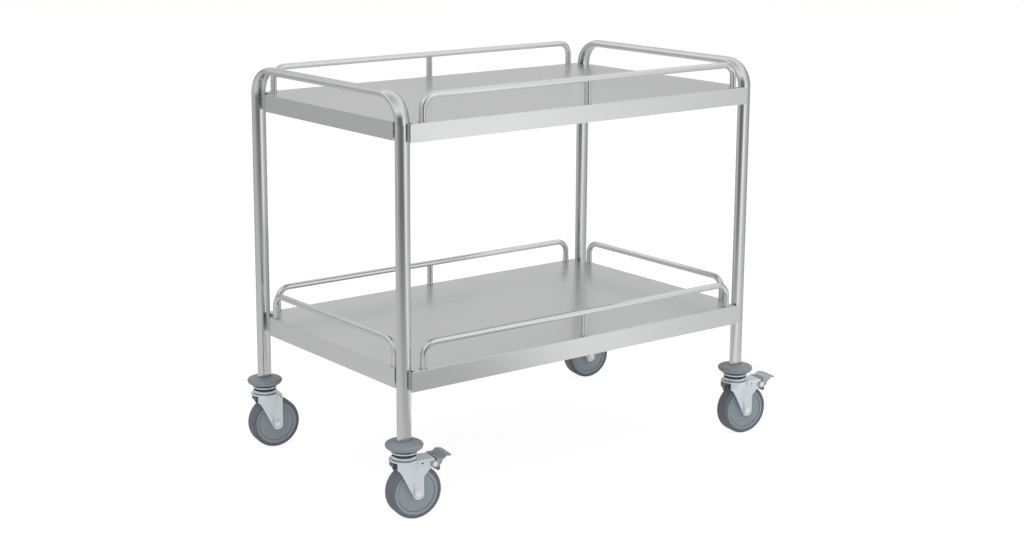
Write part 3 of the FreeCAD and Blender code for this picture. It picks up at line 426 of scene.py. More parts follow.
@dataclass(frozen=True)
class Finish:
    """One real surface finish and the material that shows it."""

    name: str
    colour: Colour
    shade: Colour
    roughness: float
    spread: float
    metallic: float = 0.0
    grain: Grain = Grain.NONE
    smear_size: float = 6.0
    line_depth: float = 0.0
    speck_depth: float = 0.0
    dust: float = 0.0
    dust_colour: Colour = (0.45, 0.46, 0.47)
    specular: float = 0.5
    coat: float = 0.0
    smear_share: float = 0.6
    grain_share: float = 0.45
    plain_share: float = 0.2
    relief_strength: float = 0.5
    relief_height: float = 0.0004

    def material(self) -> bpy.types.Material:
        """Returns the finish's material, which is built the first time.

        Returns:
            The material.
        """
        known = bpy.data.materials.get(self.name)
        if known:
            return known
        material = bpy.data.materials.new(self.name)
        material.use_nodes = True
        material.node_tree.nodes.clear()
        wiring = Wiring(material.node_tree)
        shader = wiring.add("BsdfPrincipled")
        output = wiring.add("OutputMaterial")
        wiring.join(shader.outputs[0], output.inputs["Surface"])
        where = wiring.add("TexCoord").outputs["Object"]
        shader.inputs["Metallic"].default_value = self.metallic
        shader.inputs["Specular IOR Level"].default_value = self.specular
        shader.inputs["Coat Weight"].default_value = self.coat
        smears, specks = self.marks(wiring, where)
        lines = self.lines(wiring, where)
        tone = self.tone(wiring, smears, lines)
        colour = self.dusted(wiring, where, tone)
        wiring.join(colour, shader.inputs["Base Color"])
        uneven = wiring.weighted(smears, self.smear_share, lines, 1.0 - self.smear_share)
        rough = wiring.between(uneven, self.roughness - self.spread, self.roughness + self.spread)
        wiring.join(rough, shader.inputs["Roughness"])
        self.relief(wiring, lines, specks, shader)
        return material

    def marks(self, wiring: Wiring, where: Socket) -> tuple[Socket, Socket]:
        """Places the handling marks.

        Args:
            wiring: The material's wiring.
            where: The coordinates.

        Returns:
            The smear and the speck sockets.
        """
        node = wiring.add("Group", node_tree=EFFECTS.handling())
        wiring.join(where, node.inputs["Vector"])
        node.inputs["Size"].default_value = self.smear_size
        return node.outputs["Smears"], node.outputs["Specks"]

    def lines(self, wiring: Wiring, where: Socket) -> Socket:
        """Places the fine lines.

        Args:
            wiring: The material's wiring.
            where: The coordinates.

        Returns:
            The socket of the lines.
        """
        node = wiring.add("Group", node_tree=EFFECTS.fine_lines())
        wiring.join(where, node.inputs["Vector"])
        node.inputs["Stretch"].default_value = self.grain.value
        return node.outputs["Lines"]

    def tone(self, wiring: Wiring, smears: Socket, lines: Socket) -> Socket:
        """Blends the finish's two tones.

        Args:
            wiring: The material's wiring.
            smears: The smear mask.
            lines: The line mask.

        Returns:
            The colour socket.
        """
        mix = wiring.add("Mix", data_type="RGBA")
        grain = self.plain_share if self.grain is Grain.NONE else self.grain_share
        wiring.join(wiring.weighted(smears, 1.0 - grain, lines, grain), mix.inputs["Factor"])
        mix.inputs["A"].default_value = (*self.shade, 1.0)
        mix.inputs["B"].default_value = (*self.colour, 1.0)
        return mix.outputs["Result"]

    def dusted(self, wiring: Wiring, where: Socket, colour: Socket) -> Socket:
        """Lays a little dust on what faces up.

        Args:
            wiring: The material's wiring.
            where: The coordinates.
            colour: The clean colour.

        Returns:
            The colour with its dust.
        """
        if not self.dust:
            return colour
        node = wiring.add("Group", node_tree=EFFECTS.settled_dust())
        wiring.join(where, node.inputs["Vector"])
        wiring.join(wiring.add("NewGeometry").outputs["Normal"], node.inputs["Normal"])
        node.inputs["Amount"].default_value = self.dust
        mix = wiring.add("Mix", data_type="RGBA")
        wiring.join(node.outputs["Dust"], mix.inputs["Factor"])
        wiring.join(colour, mix.inputs["A"])
        mix.inputs["B"].default_value = (*self.dust_colour, 1.0)
        return mix.outputs["Result"]

    def relief(self, wiring: Wiring, lines: Socket, specks: Socket,
               shader: Node) -> None:
        """Raises the lines and specks a little.

        Args:
            wiring: The material's wiring.
            lines: The line mask.
            specks: The speck mask.
            shader: The surface shader.
        """
        height = wiring.weighted(lines, self.line_depth, specks, self.speck_depth)
        bump = wiring.add("Bump")
        bump.inputs["Strength"].default_value = self.relief_strength
        bump.inputs["Distance"].default_value = self.relief_height
        wiring.join(height, bump.inputs["Height"])
        wiring.join(bump.outputs["Normal"], shader.inputs["Normal"])


POLISHED_TUBE = Finish("polished tube", (0.76, 0.765, 0.765), (0.72, 0.725, 0.725), 0.17, 0.03,
                       metallic=1.0, grain=Grain.ALONG_Z, smear_size=6.0, line_depth=0.08)
POLISHED_RAIL = Finish("polished rail", (0.78, 0.785, 0.785), (0.74, 0.745, 0.745), 0.17, 0.03,
                       metallic=1.0, grain=Grain.ALONG_X, smear_size=8.0, line_depth=0.08)
SATIN_SHEET = Finish("satin sheet", (0.775, 0.78, 0.78), (0.745, 0.75, 0.75), 0.25, 0.03,
                     metallic=1.0, grain=Grain.ALONG_X, smear_size=2.5, line_depth=0.1)
WELD_METAL = Finish("weld metal", (0.62, 0.62, 0.61), (0.48, 0.48, 0.47), 0.38, 0.1,
                    metallic=1.0, smear_size=90.0, speck_depth=0.4)
ZINC_PLATE = Finish("zinc plate", (0.76, 0.81, 0.84), (0.72, 0.77, 0.80), 0.24, 0.03,
                    metallic=0.65, smear_size=8.0, speck_depth=0.03, dust=0.02, coat=0.4)
# A darker copy of the zinc plate for the brake pedal: its darker colour is painted shade, standing in
# for the dark room that the pedal's top mirrors.
SHADED_PEDAL_ZINC = Finish("shaded pedal zinc", (0.52, 0.55, 0.57), (0.49, 0.52, 0.54), 0.26, 0.03,
                    metallic=0.95, smear_size=8.0, speck_depth=0.04, dust=0.02)
FASTENER = Finish("fastener steel", (0.90, 0.93, 0.95), (0.84, 0.87, 0.89), 0.2, 0.04,
                  metallic=0.6, smear_size=40.0, speck_depth=0.08)
TYRE_RUBBER = Finish("grey tyre", from_screen(100, 107, 115), from_screen(93, 100, 108), 0.58, 0.06,
                     smear_size=20.0, speck_depth=0.5, dust=0.2, specular=0.4)
# Dark rubber colour for the rings laid in the swivel gaps; the darkness is painted shade standing in
# for the shadow in those gaps.
PAINTED_SHADE_RUBBER = Finish("painted shade ring", from_screen(54, 57, 60), from_screen(46, 49, 52), 0.6, 0.06,
                     smear_size=40.0, speck_depth=0.4, specular=0.35)
BUMPER_SOFT = Finish("soft bumper", from_screen(132, 141, 147), from_screen(127, 136, 142), 0.48,
                     0.05, smear_size=18.0, speck_depth=0.25, dust=0.1, specular=0.45)
HUB_PLASTIC = Finish("moulded hub", from_screen(141, 150, 157), from_screen(135, 144, 151), 0.45,
                     0.05, smear_size=24.0, speck_depth=0.25, specular=0.45)
NYLON = Finish("nylon", (0.66, 0.66, 0.62), (0.58, 0.58, 0.55), 0.5, 0.06, smear_size=40.0,
               speck_depth=0.3)


@dataclass(frozen=True)
class Lamp:
    """One square lamp, its place in metres and its power in watts."""

    name: str
    spot: Place
    target: Place
    width: float
    power: float

    def hang(self) -> None:
        """Adds the lamp, which metal doesn't mirror."""
        data = bpy.data.lights.new(self.name, "AREA")
        data.shape = "RECTANGLE"
        data.size = data.size_y = self.width
        data.energy = self.power
        lamp = bpy.data.objects.new(self.name, data)
        bpy.context.scene.collection.objects.link(lamp)
        lamp.location = self.spot
        aim = Vector(self.target) - Vector(self.spot)
        lamp.rotation_euler = aim.to_track_quat("-Z", "Y").to_euler()
        lamp.visible_glossy = False
        log.info("%s lamp: %g W", self.name, self.power)


@dataclass
class Studio:
    """The camera, the light and the white room."""

    spot: Place = (-2.15015, -2.72717, 1.1721)
    yaw: float = 0.6144
    pitch: float = 0.2022
    roll: float = 0.0040
    focal_pixels: float = 1781.456
    centre_pixels: Pair = (420.0, 215.0)
    sensor: float = 36.0
    sight: float = 60.0
    floor_size: float = 14.0
    floor_drop: float = 0.0005
    floor_white: tuple[float, ...] = (0.92, 0.92, 0.92, 1.0)
    floor_glow: float = 1.08
    floor_share: float = 0.85
    near_floor: float = 0.74
    near_share: float = 0.6
    near_reach: Pair = (0.8, 3.0)
    lamps: tuple[Lamp, ...] = (
        Lamp("overhead", (0.2, 0.3, 3.2), (0.0, 0.0, 0.4), 4.0, 48.0),
        Lamp("front right", (2.6, -2.6, 1.9), (0.0, 0.0, 0.45), 1.8, 20.0),
        Lamp("fill", (-2.6, -3.0, 1.3), (0.0, 0.0, 0.3), 2.4, 34.0),
    )

    def build(self) -> None:
        """Sets up everything round the trolley."""
        self.place_camera()
        self.place_floor()
        for lamp in self.lamps:
            lamp.hang()
        self.make_world()
        bpy.context.scene.view_settings.view_transform = "Standard"

    def place_camera(self) -> None:
        """Stands the camera where the photograph was taken from."""
        data = bpy.data.cameras.new("Camera")
        camera = bpy.data.objects.new("Camera", data)
        bpy.context.scene.collection.objects.link(camera)
        width, height = IMAGE_SIZE
        data.sensor_width = self.sensor
        data.lens = self.focal_pixels * data.sensor_width / width
        data.shift_x = (width / 2 - self.centre_pixels[0]) / width
        data.shift_y = (self.centre_pixels[1] - height / 2) / width
        data.clip_end = self.sight
        ahead = Vector((
            math.sin(self.yaw) * math.cos(self.pitch),
            math.cos(self.yaw) * math.cos(self.pitch),
            -math.sin(self.pitch),
        ))
        right = Vector((math.cos(self.yaw), -math.sin(self.yaw), 0.0))
        down = ahead.cross(right)
        tilted_right = right * math.cos(self.roll) + down * math.sin(self.roll)
        tilted_down = down * math.cos(self.roll) - right * math.sin(self.roll)
        turned = Matrix((tilted_right, -tilted_down, -ahead)).transposed().to_4x4()
        camera.matrix_world = Matrix.Translation(self.spot) @ turned
        bpy.context.scene.camera = camera

    def place_floor(self) -> None:
        """Lays a white floor that shows white to the camera and keeps a soft shadow."""
        bpy.ops.object.select_all(action="DESELECT")
        bpy.ops.mesh.primitive_plane_add(size=self.floor_size,
                                         location=(0.0, 0.0, -self.floor_drop))
        floor = bpy.context.object
        floor.name = "floor"
        floor.data.materials.append(self.paper())

    def paper(self) -> bpy.types.Material:
        """Returns the floor's white paper, which metal sees as bright as the room over it.

        Returns:
            The material.
        """
        material = bpy.data.materials.new("white paper")
        material.use_nodes = True
        material.node_tree.nodes.clear()
        wiring = Wiring(material.node_tree)
        matt = wiring.add("BsdfDiffuse")
        matt.inputs["Color"].default_value = self.floor_white
        where = wiring.add("TexCoord").outputs["Object"]
        room = wiring.add("Group", node_tree=EFFECTS.room())
        wiring.join(where, room.inputs["Vector"])
        reach = wiring.add("VectorMath", operation="LENGTH")
        wiring.join(where, reach.inputs[0])
        near = wiring.span(reach.outputs["Value"], *self.near_reach, self.near_share, 0.0)
        band = wiring.add("Emission")
        wiring.join(wiring.between(near, room.outputs["Brightness"], self.near_floor),
                    band.inputs["Strength"])
        glow = wiring.add("Emission")
        glow.inputs["Strength"].default_value = self.floor_glow
        path = wiring.add("LightPath")
        shiny = wiring.add("MixShader")
        wiring.join(path.outputs["Is Glossy Ray"], shiny.inputs[0])
        wiring.join(matt.outputs[0], shiny.inputs[1])
        wiring.join(band.outputs[0], shiny.inputs[2])
        seen = wiring.add("MixShader")
        share = wiring.maths("MULTIPLY", path.outputs["Is Camera Ray"], self.floor_share)
        wiring.join(share, seen.inputs[0])
        wiring.join(shiny.outputs[0], seen.inputs[1])
        wiring.join(glow.outputs[0], seen.inputs[2])
        output = wiring.add("OutputMaterial")
        wiring.join(seen.outputs[0], output.inputs["Surface"])
        return material

    def make_world(self) -> None:
        """Lights the world as the room, which the camera sees as plain white."""
        world = bpy.data.worlds.new("white room")
        bpy.context.scene.world = world
        world.use_nodes = True
        world.node_tree.nodes.clear()
        wiring = Wiring(world.node_tree)
        shade = wiring.add("Group", node_tree=EFFECTS.room())
        wiring.join(wiring.add("TexCoord").outputs["Generated"], shade.inputs["Vector"])
        room = wiring.add("Background")
        white = wiring.add("Background")
        for light in (room, white):
            light.inputs["Color"].default_value = (1.0, 1.0, 1.0, 1.0)
        wiring.join(shade.outputs["Brightness"], room.inputs["Strength"])
        path = wiring.add("LightPath")
        mix = wiring.add("MixShader")
        wiring.join(path.outputs["Is Camera Ray"], mix.inputs[0])
        wiring.join(room.outputs[0], mix.inputs[1])
        wiring.join(white.outputs[0], mix.inputs[2])
        output = wiring.add("OutputWorld")
        wiring.join(mix.outputs[0], output.inputs["Surface"])


class Workbench:
    """Short calls round the modelling operators."""

    @staticmethod
    def alone(piece: bpy.types.Object) -> None:
        """Selects one piece and nothing else.

        Args:
            piece: The piece.
        """
        bpy.ops.object.select_all(action="DESELECT")
        piece.select_set(True)
        bpy.context.view_layer.objects.active = piece

    @staticmethod
    def started(name: str) -> bpy.types.Object:
        """Names the primitive that was just added.

        Args:
            name: The piece's name.

        Returns:
            The piece.
        """
        piece = bpy.context.object
        piece.name = piece.data.name = name
        return piece

    @staticmethod
    @contextmanager
    def editing(piece: bpy.types.Object, kind: str = "VERT") -> Iterator[None]:
        """Opens a piece in edit mode with nothing selected.

        Args:
            piece: The piece to shape.
            kind: What is selected: VERT, EDGE or FACE.
        """
        Workbench.alone(piece)
        bpy.ops.object.mode_set(mode="EDIT")
        bpy.ops.mesh.select_mode(type=kind)
        bpy.ops.mesh.select_all(action="DESELECT")
        yield
        bpy.ops.object.mode_set(mode="OBJECT")

    @staticmethod
    def pick(piece: bpy.types.Object, kind: str, test: Callable[[object], bool]) -> None:
        """Selects what passes a test and nothing else.

        Args:
            piece: The piece in edit mode.
            kind: Which of its elements: verts, edges or faces.
            test: Tells whether an element is wanted.
        """
        bpy.ops.mesh.select_all(action="DESELECT")
        mesh = bmesh.from_edit_mesh(piece.data)
        for part in getattr(mesh, kind):
            if test(part):
                part.select_set(True)
        bmesh.update_edit_mesh(piece.data)

    @staticmethod
    def turned(name: str, outline: Iterable[Pair], last: Pair, sunk: float,
               segments: int = 96) -> bpy.types.Object:
        """Draws a circle up through an outline, as a lathe would cut it, and closes the bottom.

        Args:
            name: The piece's name.
            outline: Radius and height of each ring in millimetres, from the bottom up.
            last: Half widths of the top ring along X and Y in millimetres.
            sunk: How far the middle lies below the top ring in millimetres.
            segments: How many points there are in a ring.

        Returns:
            The piece, on the Z axis.
        """
        rings = [(radius * MILLIMETRE, height * MILLIMETRE) for radius, height in outline]
        bpy.ops.object.select_all(action="DESELECT")
        bpy.ops.mesh.primitive_circle_add(vertices=segments, radius=rings[0][0],
                                          fill_type="NGON", location=(0.0, 0.0, 0.0))
        piece = Workbench.started(name)
        Workbench.alone(piece)
        bpy.ops.object.mode_set(mode="EDIT")
        bpy.ops.mesh.select_all(action="SELECT")
        bpy.ops.transform.translate(value=(0.0, 0.0, rings[0][1]))
        for (before, low), (radius, high) in zip(rings, rings[1:]):
            bpy.ops.mesh.extrude_region_move(
                TRANSFORM_OT_translate={"value": (0.0, 0.0, high - low)})
            factor = radius / before
            bpy.ops.transform.resize(value=(factor, factor, 1.0))
        across, up = (half * MILLIMETRE / rings[-1][0] for half in last)
        bpy.ops.mesh.extrude_region_move(TRANSFORM_OT_translate={"value": (0.0, 0.0, 0.0)})
        bpy.ops.transform.resize(value=(across, up, 1.0))
        bpy.ops.mesh.extrude_region_move(
            TRANSFORM_OT_translate={"value": (0.0, 0.0, -sunk * MILLIMETRE)})
        bpy.ops.object.mode_set(mode="OBJECT")
        return piece

    @staticmethod
    def spread(master: bpy.types.Object, places: Iterable[Matrix]) -> bpy.types.Object:
        """Copies a piece to several places and joins the copies.

        Args:
            master: The piece to copy. It is used up.
            places: Where each copy goes.

        Returns:
            The joined piece, under the master's name.
        """
        name = master.name
        copies = []
        for place in places:
            copy = master.copy()
            copy.data = master.data.copy()
            bpy.context.scene.collection.objects.link(copy)
            copy.matrix_world = place @ master.matrix_world
            copies.append(copy)
        bpy.data.objects.remove(master)
        Workbench.alone(copies[0])
        for copy in copies:
            copy.select_set(True)
        bpy.ops.object.join()
        return Workbench.started(name)

    @staticmethod
    def settle(piece: bpy.types.Object, body: str, slot: str, finish: Finish,
               angle: float = 35.0) -> None:
        """Bakes a piece's place into its mesh, dresses it and lets it ride.

        Args:
            piece: The finished piece.
            body: The body that it moves with.
            slot: Its material slot in the record; not used.
            finish: Its finish.
            angle: Edges sharper than this many degrees stay sharp.
        """
        Workbench.alone(piece)
        bpy.ops.object.transform_apply(location=True, rotation=True, scale=True)
        with Workbench.editing(piece):
            bpy.ops.mesh.select_all(action="SELECT")
            bpy.ops.mesh.normals_make_consistent(inside=False)
        bpy.ops.object.shade_smooth_by_angle(angle=math.radians(angle))
        piece.data.materials.clear()
        piece.data.materials.append(finish.material())
        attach(piece, body)
        log.info("%s: %s, %d faces", piece.name, finish.name, len(piece.data.polygons))


def dress(nodes: Iterable[str], finish: Finish) -> None:
    """Gives carried-over pieces their finish.

    Args:
        nodes: Names of the pieces.
        finish: Their finish.
    """
    material = finish.material()
    for name in nodes:
        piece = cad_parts[name]
        piece.data.materials.clear()
        piece.data.materials.append(material)
        log.info("%s: %s", name, finish.name)


@dataclass
class EndFrames:
    """The two bent tube frames with their plugs, nuts and stems."""

    sides: tuple[str, ...] = ("left", "right")

    def build(self) -> None:
        """Dresses the frames and what sits in them."""
        dress([f"{side}_end_frame" for side in self.sides], POLISHED_TUBE)
        dress(["leg_nuts", "shelf_screws"], FASTENER)
        dress(["leg_plugs"], NYLON)
        dress(["castor_stems"], ZINC_PLATE)


@dataclass
class Shelves:
    """The two trays with their channels, guard rails and rail welds."""

    levels: tuple[str, ...] = ("top", "bottom")
    rail_radius: float = 0.006
    bead: float = 0.0012
    bead_stand: float = 0.35
    ripples: int = 15
    ripple_swell: float = 0.22
    ripple_crest: float = 0.4

    def build(self) -> None:
        """Dresses trays, channels and rails, and welds the rails to the decks."""
        for level in self.levels:
            dress([f"{level}_shelf", f"{level}_shelf_channel"], SATIN_SHEET)
            dress([f"{level}_front_rail", f"{level}_back_rail"], POLISHED_RAIL)
        dress(["bottom_left_rail", "bottom_right_rail"], POLISHED_RAIL)
        for level in self.levels:
            self.weld_rails(level)

    def feet(self, level: str) -> list[Vector]:
        """Finds where the rails of a shelf pass through its deck.

        Args:
            level: The shelf, top or bottom.

        Returns:
            The middle of each foot, at the height of the deck.
        """
        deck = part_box(f"{level}_shelf")[1][2]
        places = []
        for side in ("front", "back"):
            low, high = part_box(f"{level}_{side}_rail")
            across = (low[1] + high[1]) / 2
            for along in (low[0] + self.rail_radius, (low[0] + high[0]) / 2,
                          high[0] - self.rail_radius):
                places.append(Vector((along, across, deck)))
        for side in ("left", "right") if level == "bottom" else ():
            low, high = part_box(f"{level}_{side}_rail")
            along = (low[0] + high[0]) / 2
            for across in (low[1] + self.rail_radius, high[1] - self.rail_radius):
                places.append(Vector((along, across, deck)))
        return places

    def weld_rails(self, level: str) -> None:
        """Lays a rippled bead round every rail foot of a shelf.

        Args:
            level: The shelf, top or bottom.
        """
        bpy.ops.object.select_all(action="DESELECT")
        bpy.ops.mesh.primitive_torus_add(
            major_radius=self.rail_radius + self.bead * self.bead_stand,
            minor_radius=self.bead, major_segments=self.ripples * 4, minor_segments=8)
        ring = Workbench.started(f"{level}_rail_welds")
        with Workbench.editing(ring):
            Workbench.pick(ring, "verts", lambda vertex: math.cos(
                self.ripples * math.atan2(vertex.co.y, vertex.co.x)) > self.ripple_crest)
            bpy.ops.transform.shrink_fatten(value=self.bead * self.ripple_swell)
            bpy.ops.mesh.select_all(action="SELECT")
            bpy.ops.mesh.bisect(plane_co=(0.0, 0.0, 0.0), plane_no=(0.0, 0.0, 1.0),
                                clear_inner=True, use_fill=True)
        ring = Workbench.spread(ring, [Matrix.Translation(foot) for foot in self.feet(level)])
        Workbench.settle(ring, "frame", "tube_steel", WELD_METAL, angle=60.0)


def arc(centre: Pair, radii: Pair, start: float, stop: float, steps: int) -> list[Pair]:
    """Works out evenly spaced points of an elliptical arc.

    Args:
        centre: The arc's centre.
        radii: Its half widths along both axes.
        start: Angle of the first point in degrees.
        stop: Angle of the last point in degrees.
        steps: How many stretches the arc has.

    Returns:
        The points.
    """
    angles = [math.radians(start + (stop - start) * step / steps) for step in range(steps + 1)]
    return [(centre[0] + radii[0] * math.cos(angle), centre[1] + radii[1] * math.sin(angle))
            for angle in angles]


# Radius and height in millimetres, from the bottom up
BUMPER_OUTLINE = ((19.0, 130.6), *arc((27.4, 138.2), (7.1, 7.6), -90, 0, 7),
                  *arc((21.0, 138.2), (13.5, 6.0), 13, 90, 7), (19.6, 144.6), (18.8, 144.9))
# The dark ring under the bumper is painted shade: it fills the shadowed recess between the bumper and
# the race.
SHADE_RING_OUTLINE = ((20.4, 118.3), *arc((20.8, 121.3), (1.2, 2.7), -90, 90, 6), (20.8, 127.4),
                (20.2, 130.8))
CUP_OUTLINE = ((20.0, 123.2), *arc((22.6, 125.0), (1.4, 1.8), -90, 90, 7), (20.4, 126.9))
RIVET_OUTLINE = ((4.2, -0.3), (4.2, 0.7), (5.8, 0.8), *arc((1.9, 1.0), (4.1, 1.7), 0, 90, 6))
# Half widths of the socket or dimple in the top of a turned piece, in millimetres
LEG_SOCKET = (15.7, 8.2)
PIN_SOCKET = (15.0, 15.0)
RIVET_DIMPLE = (1.1, 1.1)


@dataclass
class Castor:
    """One swivel castor, with or without a foot brake."""

    corner: str
    braked: bool
    turn: float = -10.0
    belt_height: float = 0.1382
    belt_radius: float = 0.0344
    seam: float = 0.0003
    # Height, radius and half thickness of the dark ring of painted shade in the gap between the
    # fork's crown and the race.
    gap_height: float = 0.1129
    shade_ring_radius: float = 0.0222
    seal: float = 0.00036
    ring_tuck: float = 0.992
    nut_radius: float = 0.0075
    nut_height: float = 0.0034
    nut_chamfer: Pair = (0.0008, 0.0004)
    nut_edge: float = 0.0005
    collar_radius: float = 0.0053
    collar_height: float = 0.0016
    collar_steps: tuple[Pair, ...] = ((0.0006, 0.0003), (0.0005, -0.0004))
    pin: Pair = (0.050, 0.1015)
    wire: float = 0.0006
    coil_radius: float = 0.0035
    coil_turns: int = 7
    coil_steps: int = 20
    coil_pitch: float = 2.2
    tread_top: float = 0.1095
    ridges: tuple[float, ...] = (0.0575, 0.0608, 0.0641)
    ridge_radius: float = 0.0009
    ridge_length: float = 0.022
    ridge_rounding: tuple[Pair, ...] = ((0.0003, 0.0003), (0.0003, 0.0001))

    def build(self) -> None:
        """Dresses the castor's pieces and adds its small ones."""
        corner = self.corner
        dress([f"{corner}_fork", f"{corner}_race"], ZINC_PLATE)
        dress([f"{corner}_axle_bolt"], FASTENER)
        dress([f"{corner}_tyre"], TYRE_RUBBER)
        dress([f"{corner}_hub"], HUB_PLASTIC)
        dress([f"{corner}_bushes"], NYLON)
        self.bumper_and_cup()
        self.ring("bumper_seam", self.belt_radius, self.seam, self.belt_height,
                  "bumper_rubber", BUMPER_SOFT)
        # A dark ring of painted shade in the gap between the fork's crown and the race.
        self.ring("swivel_shade_ring", self.shade_ring_radius, self.seal, self.gap_height,
                  "grey_rubber", PAINTED_SHADE_RUBBER)
        self.lock_nut()
        self.rivet_head()
        if self.braked:
            # The pedal gets the darker zinc copy, whose tone is painted shade.
            dress([f"{corner}_brake_pedal"], SHADED_PEDAL_ZINC)
            dress([f"{corner}_brake_pin"], FASTENER)
            dress([f"{corner}_brake_shoe"], TYRE_RUBBER)
            self.brake_spring()
            self.pedal_ridges()

    def stand(self) -> Matrix:
        """Finds the castor's own place.

        Returns:
            The place on its swivel axis at the floor, turned as the castor stands.
        """
        low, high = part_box(f"{self.corner}_bumper")
        middle = Vector(((low[0] + high[0]) / 2, (low[1] + high[1]) / 2, 0.0))
        return Matrix.Translation(middle) @ Matrix.Rotation(math.radians(self.turn), 4, "Z")

    def bumper_and_cup(self) -> None:
        """Turns the soft bumper and the pressed cup, and a dark ring of painted shade between the
        bumper and the race.
        """
        axis = self.stand() @ Matrix.Rotation(math.radians(-self.turn), 4, "Z")
        bumper = Workbench.turned(f"{self.corner}_soft_bumper", BUMPER_OUTLINE, LEG_SOCKET,
                                  sunk=5.0)
        bumper.matrix_world = axis
        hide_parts(f"{self.corner}_bumper")
        Workbench.settle(bumper, "frame", "bumper_rubber", BUMPER_SOFT, angle=50.0)
        # The cup keeps its zinc; the second piece is a dark ring of painted shade in the recess under
        # the bumper.
        for name, outline, slot, finish in (
                ("bearing_cup", CUP_OUTLINE, "zinc_steel", ZINC_PLATE),
                ("bearing_shade_ring", SHADE_RING_OUTLINE, "grey_rubber", PAINTED_SHADE_RUBBER)):
            piece = Workbench.turned(f"{self.corner}_{name}", outline, PIN_SOCKET, sunk=1.0)
            piece.matrix_world = axis
            Workbench.settle(piece, "frame", slot, finish, angle=40.0)

    def ring(self, name: str, radius: float, thickness: float, height: float, slot: str,
             finish: Finish) -> None:
        """Lays a thin ring round the swivel axis, flattened where it meets what carries it.

        Args:
            name: The ring's name after the corner's.
            radius: Its radius.
            thickness: Half its thickness.
            height: Its height above the floor.
            slot: Its material slot.
            finish: Its finish.
        """
        bpy.ops.object.select_all(action="DESELECT")
        bpy.ops.mesh.primitive_torus_add(major_radius=radius, minor_radius=thickness,
                                         major_segments=96, minor_segments=8)
        ring = Workbench.started(f"{self.corner}_{name}")
        with Workbench.editing(ring):
            Workbench.pick(ring, "verts", lambda vertex: math.hypot(*vertex.co.xy) < radius)
            bpy.ops.transform.resize(value=(self.ring_tuck, self.ring_tuck, 1.0))
        ring.matrix_world = self.stand() @ Matrix.Translation((0.0, 0.0, height))
        Workbench.settle(ring, "frame", slot, finish, angle=60.0)

    def rivet_head(self) -> None:
        """Sets a domed head with a dimple on the axle's outer end."""
        low, high = (Vector(point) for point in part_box(f"{self.corner}_tyre"))
        middle = (low + high) / 2
        axis = self.axle_axis()
        bolt = bpy.data.objects[f"{self.corner}_axle_bolt"]
        reach = max((middle - bolt.matrix_world @ vertex.co).dot(axis)
                    for vertex in bolt.data.vertices)
        rivet = Workbench.turned(f"{self.corner}_rivet_head", RIVET_OUTLINE, RIVET_DIMPLE,
                                 sunk=0.3, segments=48)
        turned = (-axis).to_track_quat("Z", "Y").to_matrix().to_4x4()
        rivet.matrix_world = Matrix.Translation(middle - axis * reach) @ turned
        Workbench.settle(rivet, f"{self.corner}_castor", "screw_steel", FASTENER, angle=50.0)

    def axle_axis(self) -> Vector:
        """Finds which way the axle points.

        Returns:
            Its direction, towards its nut.
        """
        nut = [Vector(point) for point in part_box(f"{self.corner}_axle_nut")]
        tyre = [Vector(point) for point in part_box(f"{self.corner}_tyre")]
        axis = self.stand().to_3x3() @ Vector((0.0, 1.0, 0.0))
        return axis if (sum(nut, Vector()) - sum(tyre, Vector())).dot(axis) > 0 else -axis

    def lock_nut(self) -> None:
        """Puts a chamfered nut with a nylon collar on the axle."""
        node = f"{self.corner}_axle_nut"
        low, high = (Vector(point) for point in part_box(node))
        middle = (low + high) / 2
        axis = self.axle_axis()
        bpy.ops.object.select_all(action="DESELECT")
        bpy.ops.mesh.primitive_cylinder_add(vertices=6, radius=self.nut_radius,
                                            depth=self.nut_height)
        nut = Workbench.started(f"{self.corner}_lock_nut")
        with Workbench.editing(nut, "FACE"):
            for side in (1.0, -1.0):
                Workbench.pick(nut, "faces", lambda face: face.normal.z * side > NEARLY)
                inset, rise = self.nut_chamfer
                bpy.ops.mesh.inset(thickness=inset, depth=rise)
            bpy.ops.mesh.select_all(action="DESELECT")
            bpy.ops.mesh.select_mode(type="EDGE")
            Workbench.pick(nut, "edges", lambda edge: abs(
                edge.verts[0].co.z - edge.verts[1].co.z) > self.nut_height * NEARLY)
            bpy.ops.mesh.bevel(offset=self.nut_edge, segments=3, affect="EDGES")
        bpy.ops.object.select_all(action="DESELECT")
        bpy.ops.mesh.primitive_cylinder_add(
            vertices=32, radius=self.collar_radius, depth=self.collar_height,
            location=(0.0, 0.0, (self.nut_height + self.collar_height) / 2))
        collar = Workbench.started(f"{self.corner}_nut_collar")
        with Workbench.editing(collar, "FACE"):
            Workbench.pick(collar, "faces", lambda face: face.normal.z > NEARLY)
            for inset, rise in self.collar_steps:
                bpy.ops.mesh.inset(thickness=inset, depth=rise)
        nut.select_set(True)
        bpy.context.view_layer.objects.active = nut
        bpy.ops.object.join()
        turned = axis.to_track_quat("Z", "Y").to_matrix().to_4x4()
        nut.matrix_world = Matrix.Translation(middle - axis * self.collar_height / 2) @ turned
        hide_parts(node)
        Workbench.settle(nut, f"{self.corner}_castor", "screw_steel", FASTENER)

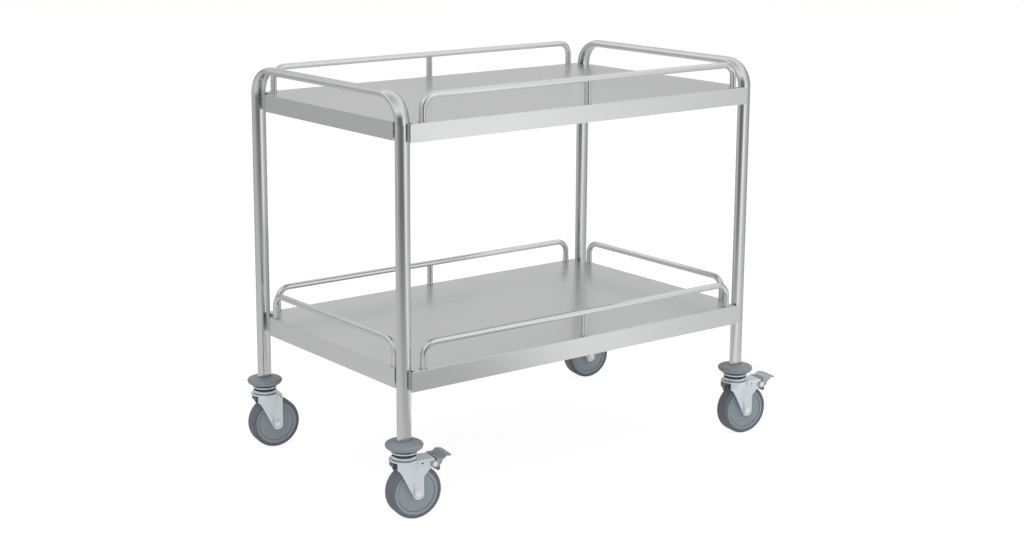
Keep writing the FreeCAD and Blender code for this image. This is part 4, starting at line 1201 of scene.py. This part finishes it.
    def brake_spring(self) -> None:
        """Winds the return spring round the brake pin."""
        bpy.ops.object.select_all(action="DESELECT")
        bpy.ops.mesh.primitive_circle_add(
            vertices=10, radius=self.wire, location=(self.coil_radius, 0.0, 0.0),
            rotation=(math.radians(90.0), 0.0, 0.0))
        spring = Workbench.started(f"{self.corner}_brake_spring")
        bpy.ops.object.transform_apply(location=True, rotation=True, scale=True)
        coil = spring.modifiers.new("coil", "SCREW")
        coil.steps = coil.render_steps = self.coil_steps
        coil.iterations = self.coil_turns
        coil.screw_offset = self.wire * self.coil_pitch
        bpy.ops.object.modifier_apply(modifier=coil.name)
        with Workbench.editing(spring, "EDGE"):
            Workbench.pick(spring, "edges", lambda edge: edge.is_boundary)
            bpy.ops.mesh.edge_face_add()
        length = self.coil_turns * self.wire * self.coil_pitch
        across, height = self.pin
        spring.matrix_world = (
            self.stand() @ Matrix.Translation((across, length / 2, height))
            @ Matrix.Rotation(math.radians(90.0), 4, "X"))
        Workbench.settle(spring, f"{self.corner}_castor", "screw_steel", FASTENER, angle=60.0)

    def pedal_ridges(self) -> None:
        """Presses three grip ridges into the pedal's tread."""
        bpy.ops.object.select_all(action="DESELECT")
        bpy.ops.mesh.primitive_cylinder_add(
            vertices=16, radius=self.ridge_radius, depth=self.ridge_length,
            rotation=(math.radians(90.0), 0.0, 0.0))
        ridge = Workbench.started(f"{self.corner}_pedal_ridges")
        with Workbench.editing(ridge, "FACE"):
            Workbench.pick(ridge, "faces", lambda face: abs(face.normal.z) > NEARLY)
            for inset, rise in self.ridge_rounding:
                bpy.ops.mesh.inset(thickness=inset, depth=rise, use_individual=True)
        place = self.stand()
        ridge = Workbench.spread(ridge, [
            place @ Matrix.Translation((across, 0.0, self.tread_top)) for across in self.ridges])
        Workbench.settle(ridge, f"{self.corner}_brake", "zinc_steel", SHADED_PEDAL_ZINC, angle=60.0)


def main() -> None:
    """Builds the studio and dresses the trolley piece by piece."""
    Studio().build()
    EndFrames().build()
    Shelves().build()
    for corner in ("front_left", "front_right", "back_left", "back_right"):
        Castor(corner, corner.startswith("front")).build()


if __name__ == "__main__":
    main()
